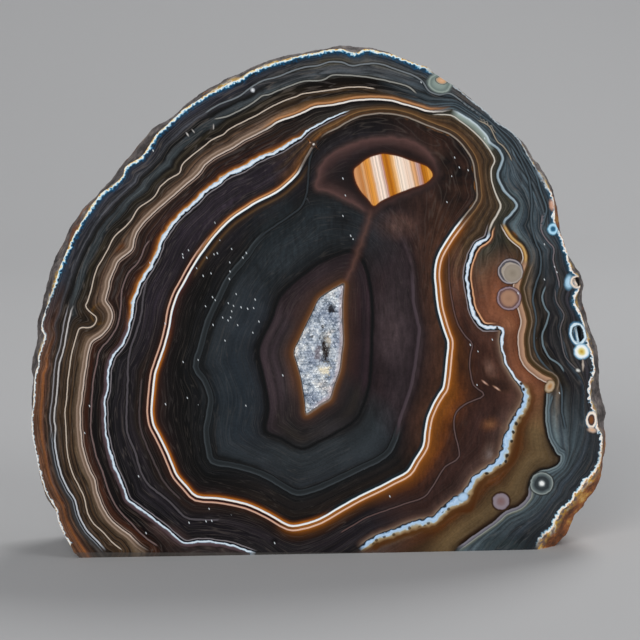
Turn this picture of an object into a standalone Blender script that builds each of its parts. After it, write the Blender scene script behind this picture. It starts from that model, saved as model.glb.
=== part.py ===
# Agate slice: a thick cut through a banded agate nodule, polished in front and standing on a sawn base.
# Metres, +Z up. The polished face looks along -Y. The origin is the middle of the base.

import math
import random

import bmesh
import bpy
from mathutils import Matrix, Vector, noise
from mathutils.geometry import delaunay_2d_cdt

MM = 0.001

# Driving sizes of the stone. Its face is about 114 mm wide and 101 mm high.
THICKNESS = 28 * MM  # from the polished face to the sawn back
FACE_Y = -THICKNESS / 2
WIDEST_DEPTH = 7 * MM  # behind the face, where the rind stands out most
BACK_INSET = 6.5 * MM  # how far the rind draws in from there to the back
EDGE_ROUND = 0.5 * MM  # the back edge, broken by hand
RIND_ROUGHNESS = 0.8 * MM
RIND_LUMP = 9 * MM  # from one lump of the rind to the next
RIND_POINTS = 160  # round the stone
CENTRE_HEIGHT = 46 * MM  # the point that the outlines are drawn round
CHAMFER = 1.3 * MM  # broken lower front edge, at its wider left end
CHAMFER_FROM, CHAMFER_TO = -47 * MM, 14 * MM

# The hollow in the middle and its crust of crystals
HOLLOW_DEPTH = 4.5 * MM
HOLLOW_TAPER = 0.18  # how much narrower its floor is
PAST_FACE = 2 * MM  # how far a cutter runs out of the stone
CRUST_GAP = 0.3 * MM
CRUST_EDGE_DEPTH = 0.9 * MM  # of the crust's rim below the polish
CRYSTAL_SIZE = 1.15 * MM
CRYSTAL_TIP_DEPTH = (0.25 * MM, 0.8 * MM)
CRYSTAL_RELIEF = 0.75 * MM  # from a crystal's tip down to its foot
CAVITY_DEPTH = 2.0 * MM

# The photograph's viewpoint, which turns a pixel read off it by eye into a place on the stone
VIEW_AZIMUTH, VIEW_ELEVATION = math.radians(-6), math.radians(7)
FOCAL_PX = 3000
PICTURE_MIDDLE_PX = 320
PX_PER_MM = 5
BASE_MIDDLE_PX = (325, 554)

# Edge of the polished face, clockwise from the lower left, closed below the base where it is sawn off
FACE_EDGE_PX = [
    (70, 545), (58, 520), (49, 499), (39, 469), (32, 433), (33, 402), (38, 360), (44, 315), (54, 284),
    (68, 247), (81, 222), (101, 193), (126, 167), (149, 146), (169, 123), (198, 100), (231, 82), (262, 67),
    (301, 55), (343, 49), (378, 51), (404, 59), (434, 73), (468, 96), (495, 121), (530, 154), (545, 181),
    (555, 222), (568, 254), (579, 276), (577, 302), (586, 334), (592, 352), (595, 372), (594, 408),
    (602, 434), (601, 462), (590, 479), (576, 494), (559, 516), (546, 536), (534, 562), (500, 590),
    (420, 612), (320, 620), (210, 612), (120, 590), (84, 566),
]  # fmt: skip

# Widest outline of the rind behind it, the silhouette, in the same order
RIND_EDGE_PX = [
    (66, 538), (56, 514), (45, 491), (36, 461), (30, 425), (30, 388), (32, 345), (38, 307), (48, 278),
    (61, 246), (77, 215), (107, 180), (128, 155), (150, 131), (181, 110), (204, 90), (231, 75), (269, 57),
    (308, 48), (339, 45), (372, 46), (410, 59), (440, 75), (470, 96), (495, 118), (515, 131), (530, 154),
    (551, 185), (560, 222), (575, 257), (584, 295), (592, 331), (600, 371), (604, 410), (604, 447),
    (601, 475), (589, 497), (571, 523), (560, 537), (540, 572), (500, 596), (420, 616), (320, 624),
    (210, 616), (116, 592), (80, 564),
]  # fmt: skip

HOLLOW_PX = [
    (344, 284), (343, 298), (343, 312), (344, 328), (344, 342), (342, 357), (340, 371), (336, 386),
    (330, 400), (318, 408), (306, 415), (303, 400), (300, 379), (297, 365), (293, 352), (299, 338),
    (305, 325), (312, 311), (319, 299), (330, 290),
]  # fmt: skip
CAVITY_PX = [(330, 308), (327, 322), (326, 336), (327, 348), (326, 362)]
CAVITY_REACH = 1.1 * MM

# Open bubbles along the right rim: pixel of the middle, half width, half height and depth
RIM_PITS = [
    ((577, 282), 0.9 * MM, 0.9 * MM, 1.3 * MM),
    ((578, 334), 1.0 * MM, 1.8 * MM, 1.6 * MM),
]


def sight_line(pixel):
    back = Vector((
        math.sin(VIEW_AZIMUTH) * math.cos(VIEW_ELEVATION),
        -math.cos(VIEW_AZIMUTH) * math.cos(VIEW_ELEVATION),
        math.sin(VIEW_ELEVATION),
    ))
    right = Vector((math.cos(VIEW_AZIMUTH), math.sin(VIEW_AZIMUTH), 0))
    up = back.cross(right)
    across, above = pixel[0] - PICTURE_MIDDLE_PX, PICTURE_MIDDLE_PX - pixel[1]
    return (right * across + up * above) / FOCAL_PX - back


VIEWPOINT = Vector((0, FACE_Y, 0)) - sight_line(BASE_MIDDLE_PX) * FOCAL_PX / PX_PER_MM * MM


def placed(pixel, depth):
    """Where the sight line through a pixel meets the upright plane at this depth behind the face."""
    line = sight_line(pixel)
    spot = VIEWPOINT + line * ((FACE_Y + depth - VIEWPOINT.y) / line.y)
    return Vector((spot.x, spot.z))


def radius_round_centre(pixels, depth):
    """The outline as a function: from an angle round the centre to the outline's distance."""
    centre = Vector((0, CENTRE_HEIGHT))
    spokes = []
    for pixel in pixels:
        arm = placed(pixel, depth) - centre
        spokes.append((math.atan2(arm.y, arm.x) % math.tau, arm.length))
    spokes.sort()
    around = [(spokes[-1][0] - math.tau, spokes[-1][1]), *spokes, (spokes[0][0] + math.tau, spokes[0][1])]

    def radius(angle):
        for (start, near), (end, far) in zip(around, around[1:]):
            if start <= angle <= end:
                return near + (far - near) * (angle - start) / (end - start)
        return spokes[0][1]

    return radius


def new_object(name, bm, collection, material=None):
    bmesh.ops.recalc_face_normals(bm, faces=bm.faces)
    if bm.calc_volume(signed=True) < 0:
        bmesh.ops.reverse_faces(bm, faces=bm.faces)
    mesh = bpy.data.meshes.new(name)
    bm.to_mesh(mesh)
    bm.free()
    obj = bpy.data.objects.new(name, mesh)
    collection.objects.link(obj)
    if material:
        mesh.materials.append(material)
    return obj


def new_material(name, color, roughness):
    material = bpy.data.materials.new(name)
    material.use_nodes = True
    shader = material.node_tree.nodes["Principled BSDF"]
    shader.inputs["Base Color"].default_value = (*color, 1)
    shader.inputs["Roughness"].default_value = roughness
    return material


def bridge(bm, first, second):
    """A closed band of quads between two rings of equal length."""
    count = len(first)
    for i in range(count):
        bm.faces.new((first[i], first[(i + 1) % count], second[(i + 1) % count], second[i]))


def rind_rows():
    """Depth behind the face, share of the swell from the face's edge, and inset, for each row of the rind."""
    rows = [(0, 0, 0), (0.8 * MM, 0.4, 0), (3 * MM, 0.85, 0), (WIDEST_DEPTH, 1, 0)]
    behind = THICKNESS - WIDEST_DEPTH
    for share in (0.12, 0.25, 0.37, 0.5, 0.62, 0.75, 0.87, 0.98):
        rows.append((WIDEST_DEPTH + behind * share, 1, BACK_INSET * share**1.8))
    rows.append((THICKNESS, 1, BACK_INSET + EDGE_ROUND))
    return rows


def saw(bm, point, outwards):
    """Cuts off what lies outwards of a plane, and closes the cut."""
    cut = bmesh.ops.bisect_plane(
        bm, geom=bm.verts[:] + bm.edges[:] + bm.faces[:], plane_co=point, plane_no=outwards, clear_outer=True
    )
    edges = [item for item in cut["geom_cut"] if isinstance(item, bmesh.types.BMEdge)]
    bmesh.ops.contextual_create(bm, geom=edges)


def build_nodule():
    face_radius = radius_round_centre(FACE_EDGE_PX, 0)
    rind_radius = radius_round_centre(RIND_EDGE_PX, WIDEST_DEPTH)
    bm = bmesh.new()
    rings = []
    for depth, swell, inset in rind_rows():
        ring = []
        for i in range(RIND_POINTS):
            angle = math.tau * i / RIND_POINTS
            near, wide = face_radius(angle), rind_radius(angle)
            radius = near + (wide - near) * swell - inset
            spot = Vector((radius * math.cos(angle), FACE_Y + depth, CENTRE_HEIGHT + radius * math.sin(angle)))
            if 0 < depth < THICKNESS:
                lump = noise.fractal(spot / RIND_LUMP, 1.0, 2.0, 3)
                spot += Vector((math.cos(angle), 0, math.sin(angle))) * (lump - 0.25) * RIND_ROUGHNESS
            ring.append(bm.verts.new(spot))
        rings.append(ring)
    for first, second in zip(rings, rings[1:]):
        bridge(bm, first, second)
    bm.faces.new(rings[0])
    bm.faces.new(rings[-1])
    bmesh.ops.recalc_face_normals(bm, faces=bm.faces)
    saw(bm, Vector((0, 0, 0)), Vector((0, 0, -1)))
    chamfer_run = CHAMFER_TO - CHAMFER_FROM
    saw(bm, Vector((CHAMFER_TO, FACE_Y, 0)), Vector((-CHAMFER, -chamfer_run, -chamfer_run)))
    return bm


def hollow_outline(depth):
    """The hollow's wall at this depth, as points in X and Z."""
    outline = [placed(pixel, 0) for pixel in HOLLOW_PX]
    middle = sum(outline, Vector((0, 0))) / len(outline)
    return [middle + (point - middle) * (1 - HOLLOW_TAPER * depth / HOLLOW_DEPTH) for point in outline]


def drawn_in(outline, distance):
    """The outline moved inwards by a distance."""
    middle = sum(outline, Vector((0, 0))) / len(outline)
    moved = []
    for i, point in enumerate(outline):
        along = (outline[(i + 1) % len(outline)] - outline[i - 1]).normalized()
        across = Vector((-along.y, along.x))
        if across.dot(middle - point) < 0:
            across = -across
        moved.append(point + across * distance)
    return moved


def build_hollow_cutter():
    bm = bmesh.new()
    rings = []
    for depth in (-PAST_FACE, HOLLOW_DEPTH):
        outline = hollow_outline(depth)
        rings.append([bm.verts.new((p.x, FACE_Y + depth, p.y)) for p in outline])
    bridge(bm, *rings)
    bm.faces.new(rings[0])
    bm.faces.new(rings[1])
    return bm


def build_pit_cutter(pixel, half_width, half_height, depth):
    bm = bmesh.new()
    spot = placed(pixel, 0)
    bmesh.ops.create_icosphere(bm, subdivisions=2, radius=1)
    shape = Matrix.Diagonal((half_width, depth, half_height, 1))
    bmesh.ops.transform(bm, matrix=Matrix.Translation((spot.x, FACE_Y, spot.y)) @ shape, verts=bm.verts)
    return bm


def inside(point, outline):
    crossings = 0
    for a, b in zip(outline, outline[1:] + outline[:1]):
        if (a.y > point.y) != (b.y > point.y):
            crossings += point.x < a.x + (b.x - a.x) * (point.y - a.y) / (b.y - a.y)
    return crossings % 2 == 1


def crystal_sites(outline, rng):
    """Feet of the crystals: a jittered triangular grid inside the outline."""
    left, right = min(p.x for p in outline), max(p.x for p in outline)
    low, high = min(p.y for p in outline), max(p.y for p in outline)
    row_step = CRYSTAL_SIZE * math.sqrt(3) / 2
    sites = []
    for row in range(int((high - low) / row_step) + 2):
        for column in range(int((right - left) / CRYSTAL_SIZE) + 2):
            spot = Vector((left + (column + row % 2 / 2) * CRYSTAL_SIZE, low + row * row_step))
            spot += Vector((rng.uniform(-1, 1), rng.uniform(-1, 1))) * CRYSTAL_SIZE * 0.25
            if inside(spot, outline):
                sites.append(spot)
    return sites


def build_druse():
    """A crust whose top is a field of pointed crystals: each has its tip over its foot and facets down to
    the corners that it shares with its neighbours."""
    rng = random.Random(5)
    rim = drawn_in(hollow_outline(CRUST_EDGE_DEPTH), CRUST_GAP)
    floor_depth = HOLLOW_DEPTH - CRUST_GAP
    floor = drawn_in(hollow_outline(floor_depth), CRUST_GAP)
    sites = crystal_sites(drawn_in(rim, CRYSTAL_SIZE * 0.45), rng)
    count = len(rim)
    edges = [(i, (i + 1) % count) for i in range(count)]
    spots, _, triangles, _, _, _ = delaunay_2d_cdt(rim + sites, edges, [], 1, 1e-9)

    bm = bmesh.new()
    cavity = [placed(pixel, 0) for pixel in CAVITY_PX]
    tips = []
    for i, spot in enumerate(spots):
        depth = CRUST_EDGE_DEPTH
        if i >= count:
            depth = rng.uniform(*CRYSTAL_TIP_DEPTH)
            nearest = min((spot - point).length for point in cavity)
            depth += CAVITY_DEPTH * max(0, 1 - (nearest / CAVITY_REACH) ** 2)
        tips.append(bm.verts.new((spot.x, FACE_Y + depth, spot.y)))
    feet, beside = [], {}
    for triangle in triangles:
        corners = [tips[i].co for i in triangle]
        foot = sum(corners, Vector()) / 3
        foot.y += CRYSTAL_RELIEF
        feet.append(bm.verts.new(foot))
        for a, b in zip(triangle, (*triangle[1:], triangle[0])):
            beside.setdefault((min(a, b), max(a, b)), []).append(feet[-1])
    for (a, b), near in beside.items():
        if len(near) == 2:
            bm.faces.new((tips[a], near[0], near[1]))
            bm.faces.new((tips[b], near[1], near[0]))
        else:
            bm.faces.new((tips[a], tips[b], near[0]))
    bottom = [bm.verts.new((p.x, FACE_Y + floor_depth, p.y)) for p in floor]
    bridge(bm, tips[:count], bottom)
    bm.faces.new(bottom)
    return bm


for old in list(bpy.data.objects):
    bpy.data.objects.remove(old, do_unlink=True)

slice_collection = bpy.data.collections.new("agate_slice_model")
cutters = bpy.data.collections.new("cutters")
bpy.context.scene.collection.children.link(slice_collection)
bpy.context.scene.collection.children.link(cutters)
cutters.hide_render = True

stone = new_object(
    "agate_slice", build_nodule(), slice_collection, new_material("banded_agate", (0.045, 0.03, 0.025), 0.14)
)
druse = new_object(
    "quartz_druse", build_druse(), slice_collection, new_material("quartz_crystal", (0.62, 0.66, 0.7), 0.2)
)

cuts = [("hollow", build_hollow_cutter())]
cuts += [(f"rim_pit_{number}", build_pit_cutter(*pit)) for number, pit in enumerate(RIM_PITS, 1)]
for name, shape in cuts:
    cutter = new_object(f"{name}_cutter", shape, cutters)
    cutter.display_type = "WIRE"
    cutter.hide_render = True
    cut = stone.modifiers.new(name, "BOOLEAN")
    cut.operation = "DIFFERENCE"
    cut.solver = "EXACT"
    cut.object = cutter
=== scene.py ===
# Agate slice: a thick cut through a banded agate nodule, polished in front, standing on a sawn base.
# Lengths are metres. The bands are drawn in the photograph's pixels, five to the millimetre on the face.
import math

import bmesh
import bpy
import numpy as np
from mathutils import Matrix, Vector, noise
from mathutils.geometry import delaunay_2d_cdt


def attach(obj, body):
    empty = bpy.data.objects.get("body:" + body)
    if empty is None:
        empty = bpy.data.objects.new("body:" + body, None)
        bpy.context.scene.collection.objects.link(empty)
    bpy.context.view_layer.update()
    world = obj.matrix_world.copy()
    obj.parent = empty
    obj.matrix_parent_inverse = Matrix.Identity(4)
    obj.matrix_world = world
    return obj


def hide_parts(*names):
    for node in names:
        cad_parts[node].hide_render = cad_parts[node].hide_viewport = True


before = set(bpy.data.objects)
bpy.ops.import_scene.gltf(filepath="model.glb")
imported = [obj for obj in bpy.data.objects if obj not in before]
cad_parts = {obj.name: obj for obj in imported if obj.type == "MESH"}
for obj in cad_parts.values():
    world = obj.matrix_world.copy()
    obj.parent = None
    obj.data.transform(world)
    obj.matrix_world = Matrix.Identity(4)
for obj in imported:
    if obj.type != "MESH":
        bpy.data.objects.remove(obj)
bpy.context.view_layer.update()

mm = 0.001
scene = bpy.context.scene

# The photograph's viewpoint
viewpoint = {
    "azimuth": -6.0,  # degrees, the camera stands a little to the left
    "elevation": 7.0,
    "focalPx": 3000,  # a long lens, in pixels of the 640 pixel frame
    "picturePx": 640,
    "pxPerMm": 5,
    "baseMiddlePx": (325, 554),  # where the middle of the face's lower edge is seen
}
pxPerMm = viewpoint["pxPerMm"]
faceY = -14 * mm  # the polished face
depthOfSlice = 28 * mm

azimuth, elevation = math.radians(viewpoint["azimuth"]), math.radians(viewpoint["elevation"])
backAxis = Vector((
    math.sin(azimuth) * math.cos(elevation), -math.cos(azimuth) * math.cos(elevation),
    math.sin(elevation)))
rightAxis = Vector((math.cos(azimuth), math.sin(azimuth), 0))
upAxis = backAxis.cross(rightAxis)
middlePx = viewpoint["picturePx"] / 2


def sightLine(pixel):
    across, above = pixel[0] - middlePx, middlePx - pixel[1]
    return (rightAxis * across + upAxis * above) / viewpoint["focalPx"] - backAxis


eyePoint = Vector((0, faceY, 0)) - sightLine(viewpoint["baseMiddlePx"]) * (
    viewpoint["focalPx"] / pxPerMm * mm)


def placed(pixel, depth=0):  # x and z where the sight line meets the plane at this depth behind the face
    line = sightLine(pixel)
    spot = eyePoint + line * ((faceY + depth - eyePoint.y) / line.y)
    return (spot.x, spot.z)


def pixelsOf(x, z):  # the other way round, for many points of the face plane at once
    arm = np.stack([x - eyePoint.x, np.full_like(x, faceY - eyePoint.y), z - eyePoint.z], axis=1)
    away = -(arm @ np.array(backAxis))
    across = arm @ np.array(rightAxis) / away
    above = arm @ np.array(upAxis) / away
    return middlePx + np.stack([across, -above], axis=1) * viewpoint["focalPx"]


cameraData = bpy.data.cameras.new("Camera")
cameraData.sensor_width = 36
cameraData.lens = 36 * viewpoint["focalPx"] / viewpoint["picturePx"]
cameraData.clip_start, cameraData.clip_end = 0.02, 20
cameraObject = bpy.data.objects.new("Camera", cameraData)
scene.collection.objects.link(cameraObject)
facing = Matrix((rightAxis, upAxis, backAxis)).transposed()
cameraObject.matrix_world = Matrix.Translation(eyePoint) @ facing.to_4x4()
scene.camera = cameraObject
print("camera placed")

# The lines of the stone, read off the polished face, in pixels. Closed ones are listed below.
bandLines = {
    "faceEdge": [
        (69.7, 544.5), (62, 530.5), (58, 520), (55.7, 509), (49, 498.6), (43, 485), (39, 469),
        (35.5, 452), (32, 433), (31.6, 416), (33.4, 402), (34, 388), (35, 373), (38.4, 365), (38, 357),
        (42, 346), (44.7, 336), (41.3, 329.5), (42, 321), (44.5, 313), (48, 302), (54.4, 283.6),
        (61, 264), (68.5, 246.6), (71, 240), (81, 222.4), (91, 207), (101.6, 193), (110.6, 187),
        (122, 176.5), (126, 166), (141, 157), (149, 146), (156.5, 134), (169, 123), (183, 110),
        (198, 100), (211, 92), (220, 88), (231, 82), (241, 78.5), (249, 72), (262, 67), (276, 62),
        (288, 59), (301, 55), (314, 53), (327, 50), (343, 49), (350, 52), (357, 53), (364, 49), (378, 51),
        (391, 54), (404, 59), (416.5, 64), (427, 67.4), (434, 73), (446, 81), (458, 89), (469, 98),
        (479, 106), (488, 113), (495, 121), (505, 127), (514, 134), (522, 144), (528, 155), (538, 171),
        (544.6, 181), (552, 194), (555, 208), (555, 222), (561, 235), (567.6, 254), (569.6, 263),
        (573.7, 272), (579, 277), (580, 288), (577, 294), (575, 302), (579, 310), (582, 317),
        (584.4, 324), (586, 334), (589, 344.5), (592, 352), (594, 363), (595, 372), (591, 382),
        (590.6, 399), (594, 408), (597, 418), (598, 428), (602, 434), (602.3, 444), (601.3, 456),
        (601, 462), (595.7, 472), (589.6, 479), (584.5, 482.4), (581.4, 489.6), (576, 494), (573, 501),
        (568, 506), (563, 509), (559, 515), (559, 518), (555, 522), (554, 527.6), (550, 531.6),
        (544.7, 535), (541.6, 539), (538.6, 545), (530, 562), (500, 590), (420, 612), (320, 620),
        (210, 612), (120, 590), (84, 566)],
    "rindEdge": [
        (75, 552), (71, 547), (66, 537), (59.5, 525), (56, 514), (52, 502), (45.5, 492), (40, 481),
        (36.6, 463), (33.4, 449), (31, 436), (30, 422), (30, 400), (31, 388), (30.7, 371), (31, 357),
        (31.5, 347), (33, 338), (33, 330), (35, 317), (38.5, 306), (40, 296), (47, 281), (51, 268),
        (57, 255), (62, 244), (68.5, 230), (71, 224), (80, 211), (91, 198), (107, 180), (117, 168),
        (128, 155), (140, 142), (150, 131), (158, 123.5), (169, 118), (181, 109.5), (192, 99), (204, 90),
        (218, 82), (231, 75), (244, 69.5), (256.5, 62.5), (269, 57.4), (282, 54), (295, 51), (308, 48),
        (320, 46.6), (339, 45.6), (359, 45.9), (372, 46.4), (385, 49), (397, 54), (410, 59), (423, 65),
        (429, 69), (439.5, 75), (448, 81), (459, 87), (470, 96), (480, 104), (489, 111), (495, 118),
        (506, 125), (515, 131), (524, 142), (529.5, 154), (539.5, 166), (546, 175), (551, 185),
        (555, 196), (558.6, 209), (559.3, 219), (561, 230), (564.4, 241), (569, 251.5), (574, 256),
        (578, 265), (580.5, 274), (583, 283), (584.4, 295), (586, 309), (588, 320), (592, 331),
        (595.6, 344.5), (598, 361), (600, 371), (600.5, 381), (601.3, 394), (603, 404), (604.4, 410),
        (603, 421), (604, 433), (604.4, 447), (603.4, 457), (603.4, 466), (601, 475), (596, 486.5),
        (589.6, 496), (584.5, 505), (577, 513), (571, 523.5), (567, 533), (560, 540), (548, 556),
        (530, 575), (500, 596), (420, 616), (320, 624), (210, 616), (116, 592), (84, 566)],
    "hollow": [
        (344.4, 283.5), (343.8, 296), (343.4, 312), (343.8, 328), (344.2, 342), (342.5, 356),
        (340.6, 371), (336, 384), (334, 390), (330.5, 400), (321.6, 405.5), (314, 411), (306, 415),
        (304.4, 403), (302.4, 390), (300.4, 378.6), (296.6, 364.5), (293.4, 352), (299, 339),
        (305.5, 325), (312, 312), (318, 299.5), (324, 294), (336, 286.7)],
    "outerGrey": [
        (205, 113), (218, 105), (231, 100), (241, 95), (251, 87.4), (262, 81), (279.5, 76), (292, 71),
        (306, 67), (318, 65.7), (329, 62), (341, 62), (352, 65.7), (365, 63.8), (380, 63.8), (391, 67.4),
        (404, 72), (414, 75.7), (423, 82), (429, 91), (439.5, 95), (451, 93.6), (467.6, 106), (480, 115)],
    "greyToBlack": [
        (214, 119), (225, 117), (237, 112), (251, 104), (262, 96), (268, 95), (278, 90.6), (291, 85.5),
        (305, 81), (321.6, 80.4), (332, 75.3), (346, 75.3), (365, 76.6), (381, 79.5), (395, 82.7),
        (409, 87), (416.5, 93.6)],
    "paleGrey": [
        (73.6, 305), (71, 312), (68, 324), (66, 337), (63.4, 350), (59.5, 363), (58, 378), (56.7, 395),
        (54, 418), (55.7, 428.5), (54.4, 441), (57, 459), (62, 477), (68.5, 490), (75, 501), (78.7, 515),
        (85, 528), (91.4, 535.6), (99, 543), (105.5, 551)],
    "thinWhite": [
        (375, 88.7), (361, 87), (346, 87.4), (337, 89), (325, 90.6), (315, 92), (302, 94), (295, 97),
        (286, 100), (277, 104), (269, 108), (259, 114), (249, 119), (239, 124), (228.5, 129.5),
        (223, 134.6), (212, 139.7), (205.5, 145), (195, 153), (188, 159), (182, 165), (179.4, 173),
        (169, 179), (160, 187), (155, 196), (147.6, 202), (138.6, 208), (132, 219), (126, 226),
        (115, 236), (109, 247), (103, 258), (96.5, 269.5), (93, 281), (91, 291), (87.6, 301),
        (85.7, 306.5), (91.4, 313), (96.5, 318), (95, 324), (89, 327.6), (80, 328), (76, 338), (72, 352),
        (70, 365), (68, 380), (66.8, 398), (65, 413), (66, 427), (66.6, 444), (68, 456.5), (72, 472),
        (78.7, 486), (84, 497), (87.6, 512.7), (94, 524), (103, 532), (112, 542), (122, 550)],
    "tanWhite": [
        (452, 109.5), (442, 111.4), (429, 111.4), (416.5, 107.6), (404, 104), (391, 100.6), (372, 99.3),
        (352, 100.8), (333, 105), (315, 107), (305, 111.6), (292, 117), (279.5, 121), (269, 127.6),
        (256.5, 134), (241, 142), (231, 148.6), (218, 155), (205.5, 164), (197, 175), (187, 183),
        (177, 192), (164, 203), (154, 212), (145, 221), (137, 231), (133.5, 241.5), (131, 250),
        (118, 260.6), (114, 269.5), (109, 281), (108, 289), (105, 300), (109, 306.5), (112, 315.5),
        (109, 325.7), (101.6, 334.6), (91.4, 342), (88, 352), (86, 365), (84, 377), (82.5, 391),
        (80, 412), (80.6, 431), (82.5, 447.6), (87.6, 465.5), (94, 479.5), (96.5, 491), (101.6, 505),
        (109, 518), (119.5, 528), (130, 535.6), (138.6, 544.5), (150, 552)],
    "blueWhite": [
        (452, 109.5), (462, 115), (472.7, 121.6), (480, 128), (487, 136), (490.5, 143), (498, 148),
        (502.6, 157), (501.4, 165), (498, 174), (500.7, 184), (507, 194), (514.7, 200.7), (516.7, 207),
        (511, 214.7), (504.5, 222), (505, 236), (511.4, 245), (516.5, 254), (520.4, 262.7)],
    "amber": [
        (503, 223), (505.5, 229), (511, 237), (517, 242.5), (522, 247), (526, 257), (522, 271),
        (518, 283), (517, 289), (519.5, 302), (524.6, 321), (522, 334), (522, 346.7), (526, 363),
        (541, 376), (551, 381), (548.8, 391)],
    "brownToGrey": [
        (548, 387), (546, 400), (546, 425.5), (551, 443), (557, 453.6), (561, 456), (558.6, 464),
        (550, 469), (539.5, 471), (532, 478), (529, 488), (528, 496), (519, 506), (506, 511), (496, 520),
        (483, 529), (469, 539), (456.6, 548)],
    "laceLeft": [
        (350, 110), (333, 117), (315, 126), (305, 133), (300, 138), (292, 142), (282, 148.6), (269, 154),
        (256.5, 160), (244, 168), (233.6, 172), (223, 178), (218, 183), (205.5, 191), (196.6, 201),
        (187.7, 208.6), (175.6, 220), (169, 229), (161.6, 240), (159, 249), (154, 260.6), (149, 269.5),
        (141, 282), (137, 292.5), (133, 302), (133, 309), (130, 323), (126, 337), (119.5, 348.6),
        (113, 356), (109, 368), (108, 380), (107.4, 391), (104.8, 401), (105, 415), (105.5, 431),
        (107.4, 441), (110.6, 454), (114.4, 467), (119.5, 478), (124.6, 490), (128.4, 500), (140, 509),
        (152.7, 518), (165.4, 528), (175.6, 537), (186, 543.3), (199, 541.4), (213, 542.3),
        (228.5, 544.5), (237, 547), (247.6, 551), (256.5, 554)],
    "laceRight": [
        (431.8, 114.6), (451, 115.3), (461, 121.6), (474, 132), (484.5, 143), (491.5, 153), (494.6, 161),
        (491.4, 169), (491.7, 181), (495.5, 193), (500.5, 205), (498, 213), (493.3, 221), (489.5, 230),
        (487, 238.4), (478.3, 243.5), (473, 251), (469.3, 261.4), (466.8, 273), (467.4, 284),
        (469.5, 296), (471.5, 308), (476.5, 318.5), (483.6, 327), (495, 327.4), (503, 329), (501.6, 340),
        (503, 351.4), (506.7, 364), (513, 374.4), (519.5, 383), (525.5, 392.5), (524.6, 402.5),
        (519.5, 412.7), (513, 423), (509.3, 435.6), (506, 445), (502.5, 457.5), (494, 466), (482, 473),
        (475, 479), (470, 486), (463.7, 497), (452, 503.7), (442, 511.4), (433, 520), (419, 523),
        (406, 526.7), (391, 533), (378, 537), (368, 543), (359, 549.6)],
    "doubleWhite": [
        (314, 145), (307.6, 155), (302, 165), (297, 174), (288, 183), (279.5, 190), (269, 196),
        (256.5, 202), (244, 210), (231, 219), (216, 234), (201, 253.6), (192, 267.6), (184.4, 281.6),
        (177, 295), (171.7, 311), (169, 327), (164.5, 345), (158, 364), (154.5, 376), (152, 400),
        (151.4, 413), (153.3, 424.6), (159, 436), (165.4, 449), (171.8, 464), (177, 475.7), (186, 486),
        (196.8, 496.5), (218, 498.6), (237, 502), (251, 506), (269, 514.6), (288.4, 525.4), (302, 524.8),
        (320, 519), (339, 508), (358.6, 497), (378, 487.8), (393.6, 479.5), (407.6, 471.8), (415, 460),
        (423.5, 446), (425.5, 431), (428, 418), (433, 405.5), (439.5, 394), (443.5, 387.7), (445.5, 376),
        (447, 360.7), (448.5, 343), (446, 334.5), (442, 322), (438, 306), (436.3, 289), (435, 274),
        (437, 260), (442, 248.5), (452, 233), (462.4, 219), (476.4, 200), (476.5, 187), (475, 175),
        (472.7, 161), (467.6, 152), (460, 142), (449.7, 134), (437, 129), (423, 123.5), (410, 118),
        (397, 114.6), (384.6, 113.3), (372, 114), (359, 116.5), (349.6, 120.6), (337, 128), (324, 134.6)],
    "mauve": [
        (447, 245), (449, 258), (449, 279), (452, 302), (457, 322), (464.6, 335), (472, 344), (470, 357),
        (470, 370), (473.6, 385), (484, 395), (468, 402.8), (456.5, 412), (454, 429), (459.4, 456),
        (445, 467), (433, 486), (424, 497), (404, 504), (384.6, 511), (365.5, 518), (340, 533)],
    "darkBrown": [
        (528, 400), (521.6, 419), (519, 438), (515, 457), (506, 467.6), (491, 474), (479.5, 487),
        (474.4, 499.5), (470.6, 510), (459, 511), (447.7, 516), (440, 522), (424, 528), (402, 535),
        (385, 542), (372, 550)],
    "faint": [
        (150, 270), (146, 283), (143, 298), (141, 316), (136, 333), (130, 350), (128, 366), (127.8, 380),
        (127, 400), (127, 431), (134.8, 451), (141, 472), (150, 486), (169, 501), (184.5, 516.5),
        (198.6, 519.7), (220, 520)],
    "slateRing": [
        (308, 200), (290, 217), (272, 228), (258, 239.5), (246, 256), (229, 276.5), (221, 292),
        (211, 312), (205, 328), (200, 347), (195, 367), (204, 381), (210, 397), (208.7, 412),
        (205.5, 431), (207.4, 446), (212, 461.6), (231, 465.5), (251, 470.6), (269, 478), (282, 486),
        (297, 493.5), (314, 490), (333, 482), (359, 469.5), (384.6, 456.5), (395, 441), (401, 418),
        (409, 395), (414, 375), (419.7, 334), (418, 321), (414, 302), (412.7, 276.5), (405, 250),
        (390, 228), (368, 212), (340, 200)],
    "slateInner": [
        (350, 251), (322, 261), (303, 274), (286.5, 288), (277.6, 299.5), (271, 320), (262, 338),
        (258, 353), (262, 372), (266, 391), (268, 410), (265.5, 431), (282, 439), (302, 449), (320, 441),
        (339, 431), (356, 419.5), (364, 403), (370, 380), (372, 340), (372, 300), (365, 265)],
    "window": [
        (354, 171), (359, 165), (367, 159), (374.4, 156), (383, 154), (391, 155), (400, 157),
        (411.4, 161), (420, 164), (428, 167.6), (432.5, 174), (431, 178.4), (424, 184), (414, 187),
        (401, 192), (391, 196), (381, 201), (373.8, 206), (368, 199), (361.7, 192), (356.6, 183)],
    "halo": [
        (314, 190), (316, 172), (322, 160), (333, 150), (346, 144), (359, 139), (385, 135), (410, 138),
        (425, 146), (434, 156), (440, 170), (436, 182), (425, 190), (405, 198), (385, 206), (372, 215),
        (350, 205), (330, 195)],
    "vein": [(372, 206), (370, 216), (367, 225.5), (361.6, 242), (356.5, 255), (351, 271), (345, 283)],
    "greyNear": [
        (546, 286), (542, 297), (546, 309), (549, 314), (546, 325), (542, 336), (544, 348), (550, 358),
        (559, 364), (564, 372)],
    "greyMiddle": [
        (555, 289), (556.5, 302), (564, 314.8), (560.3, 327.5), (561.6, 340), (565.4, 357), (577, 369.6)],
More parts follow.
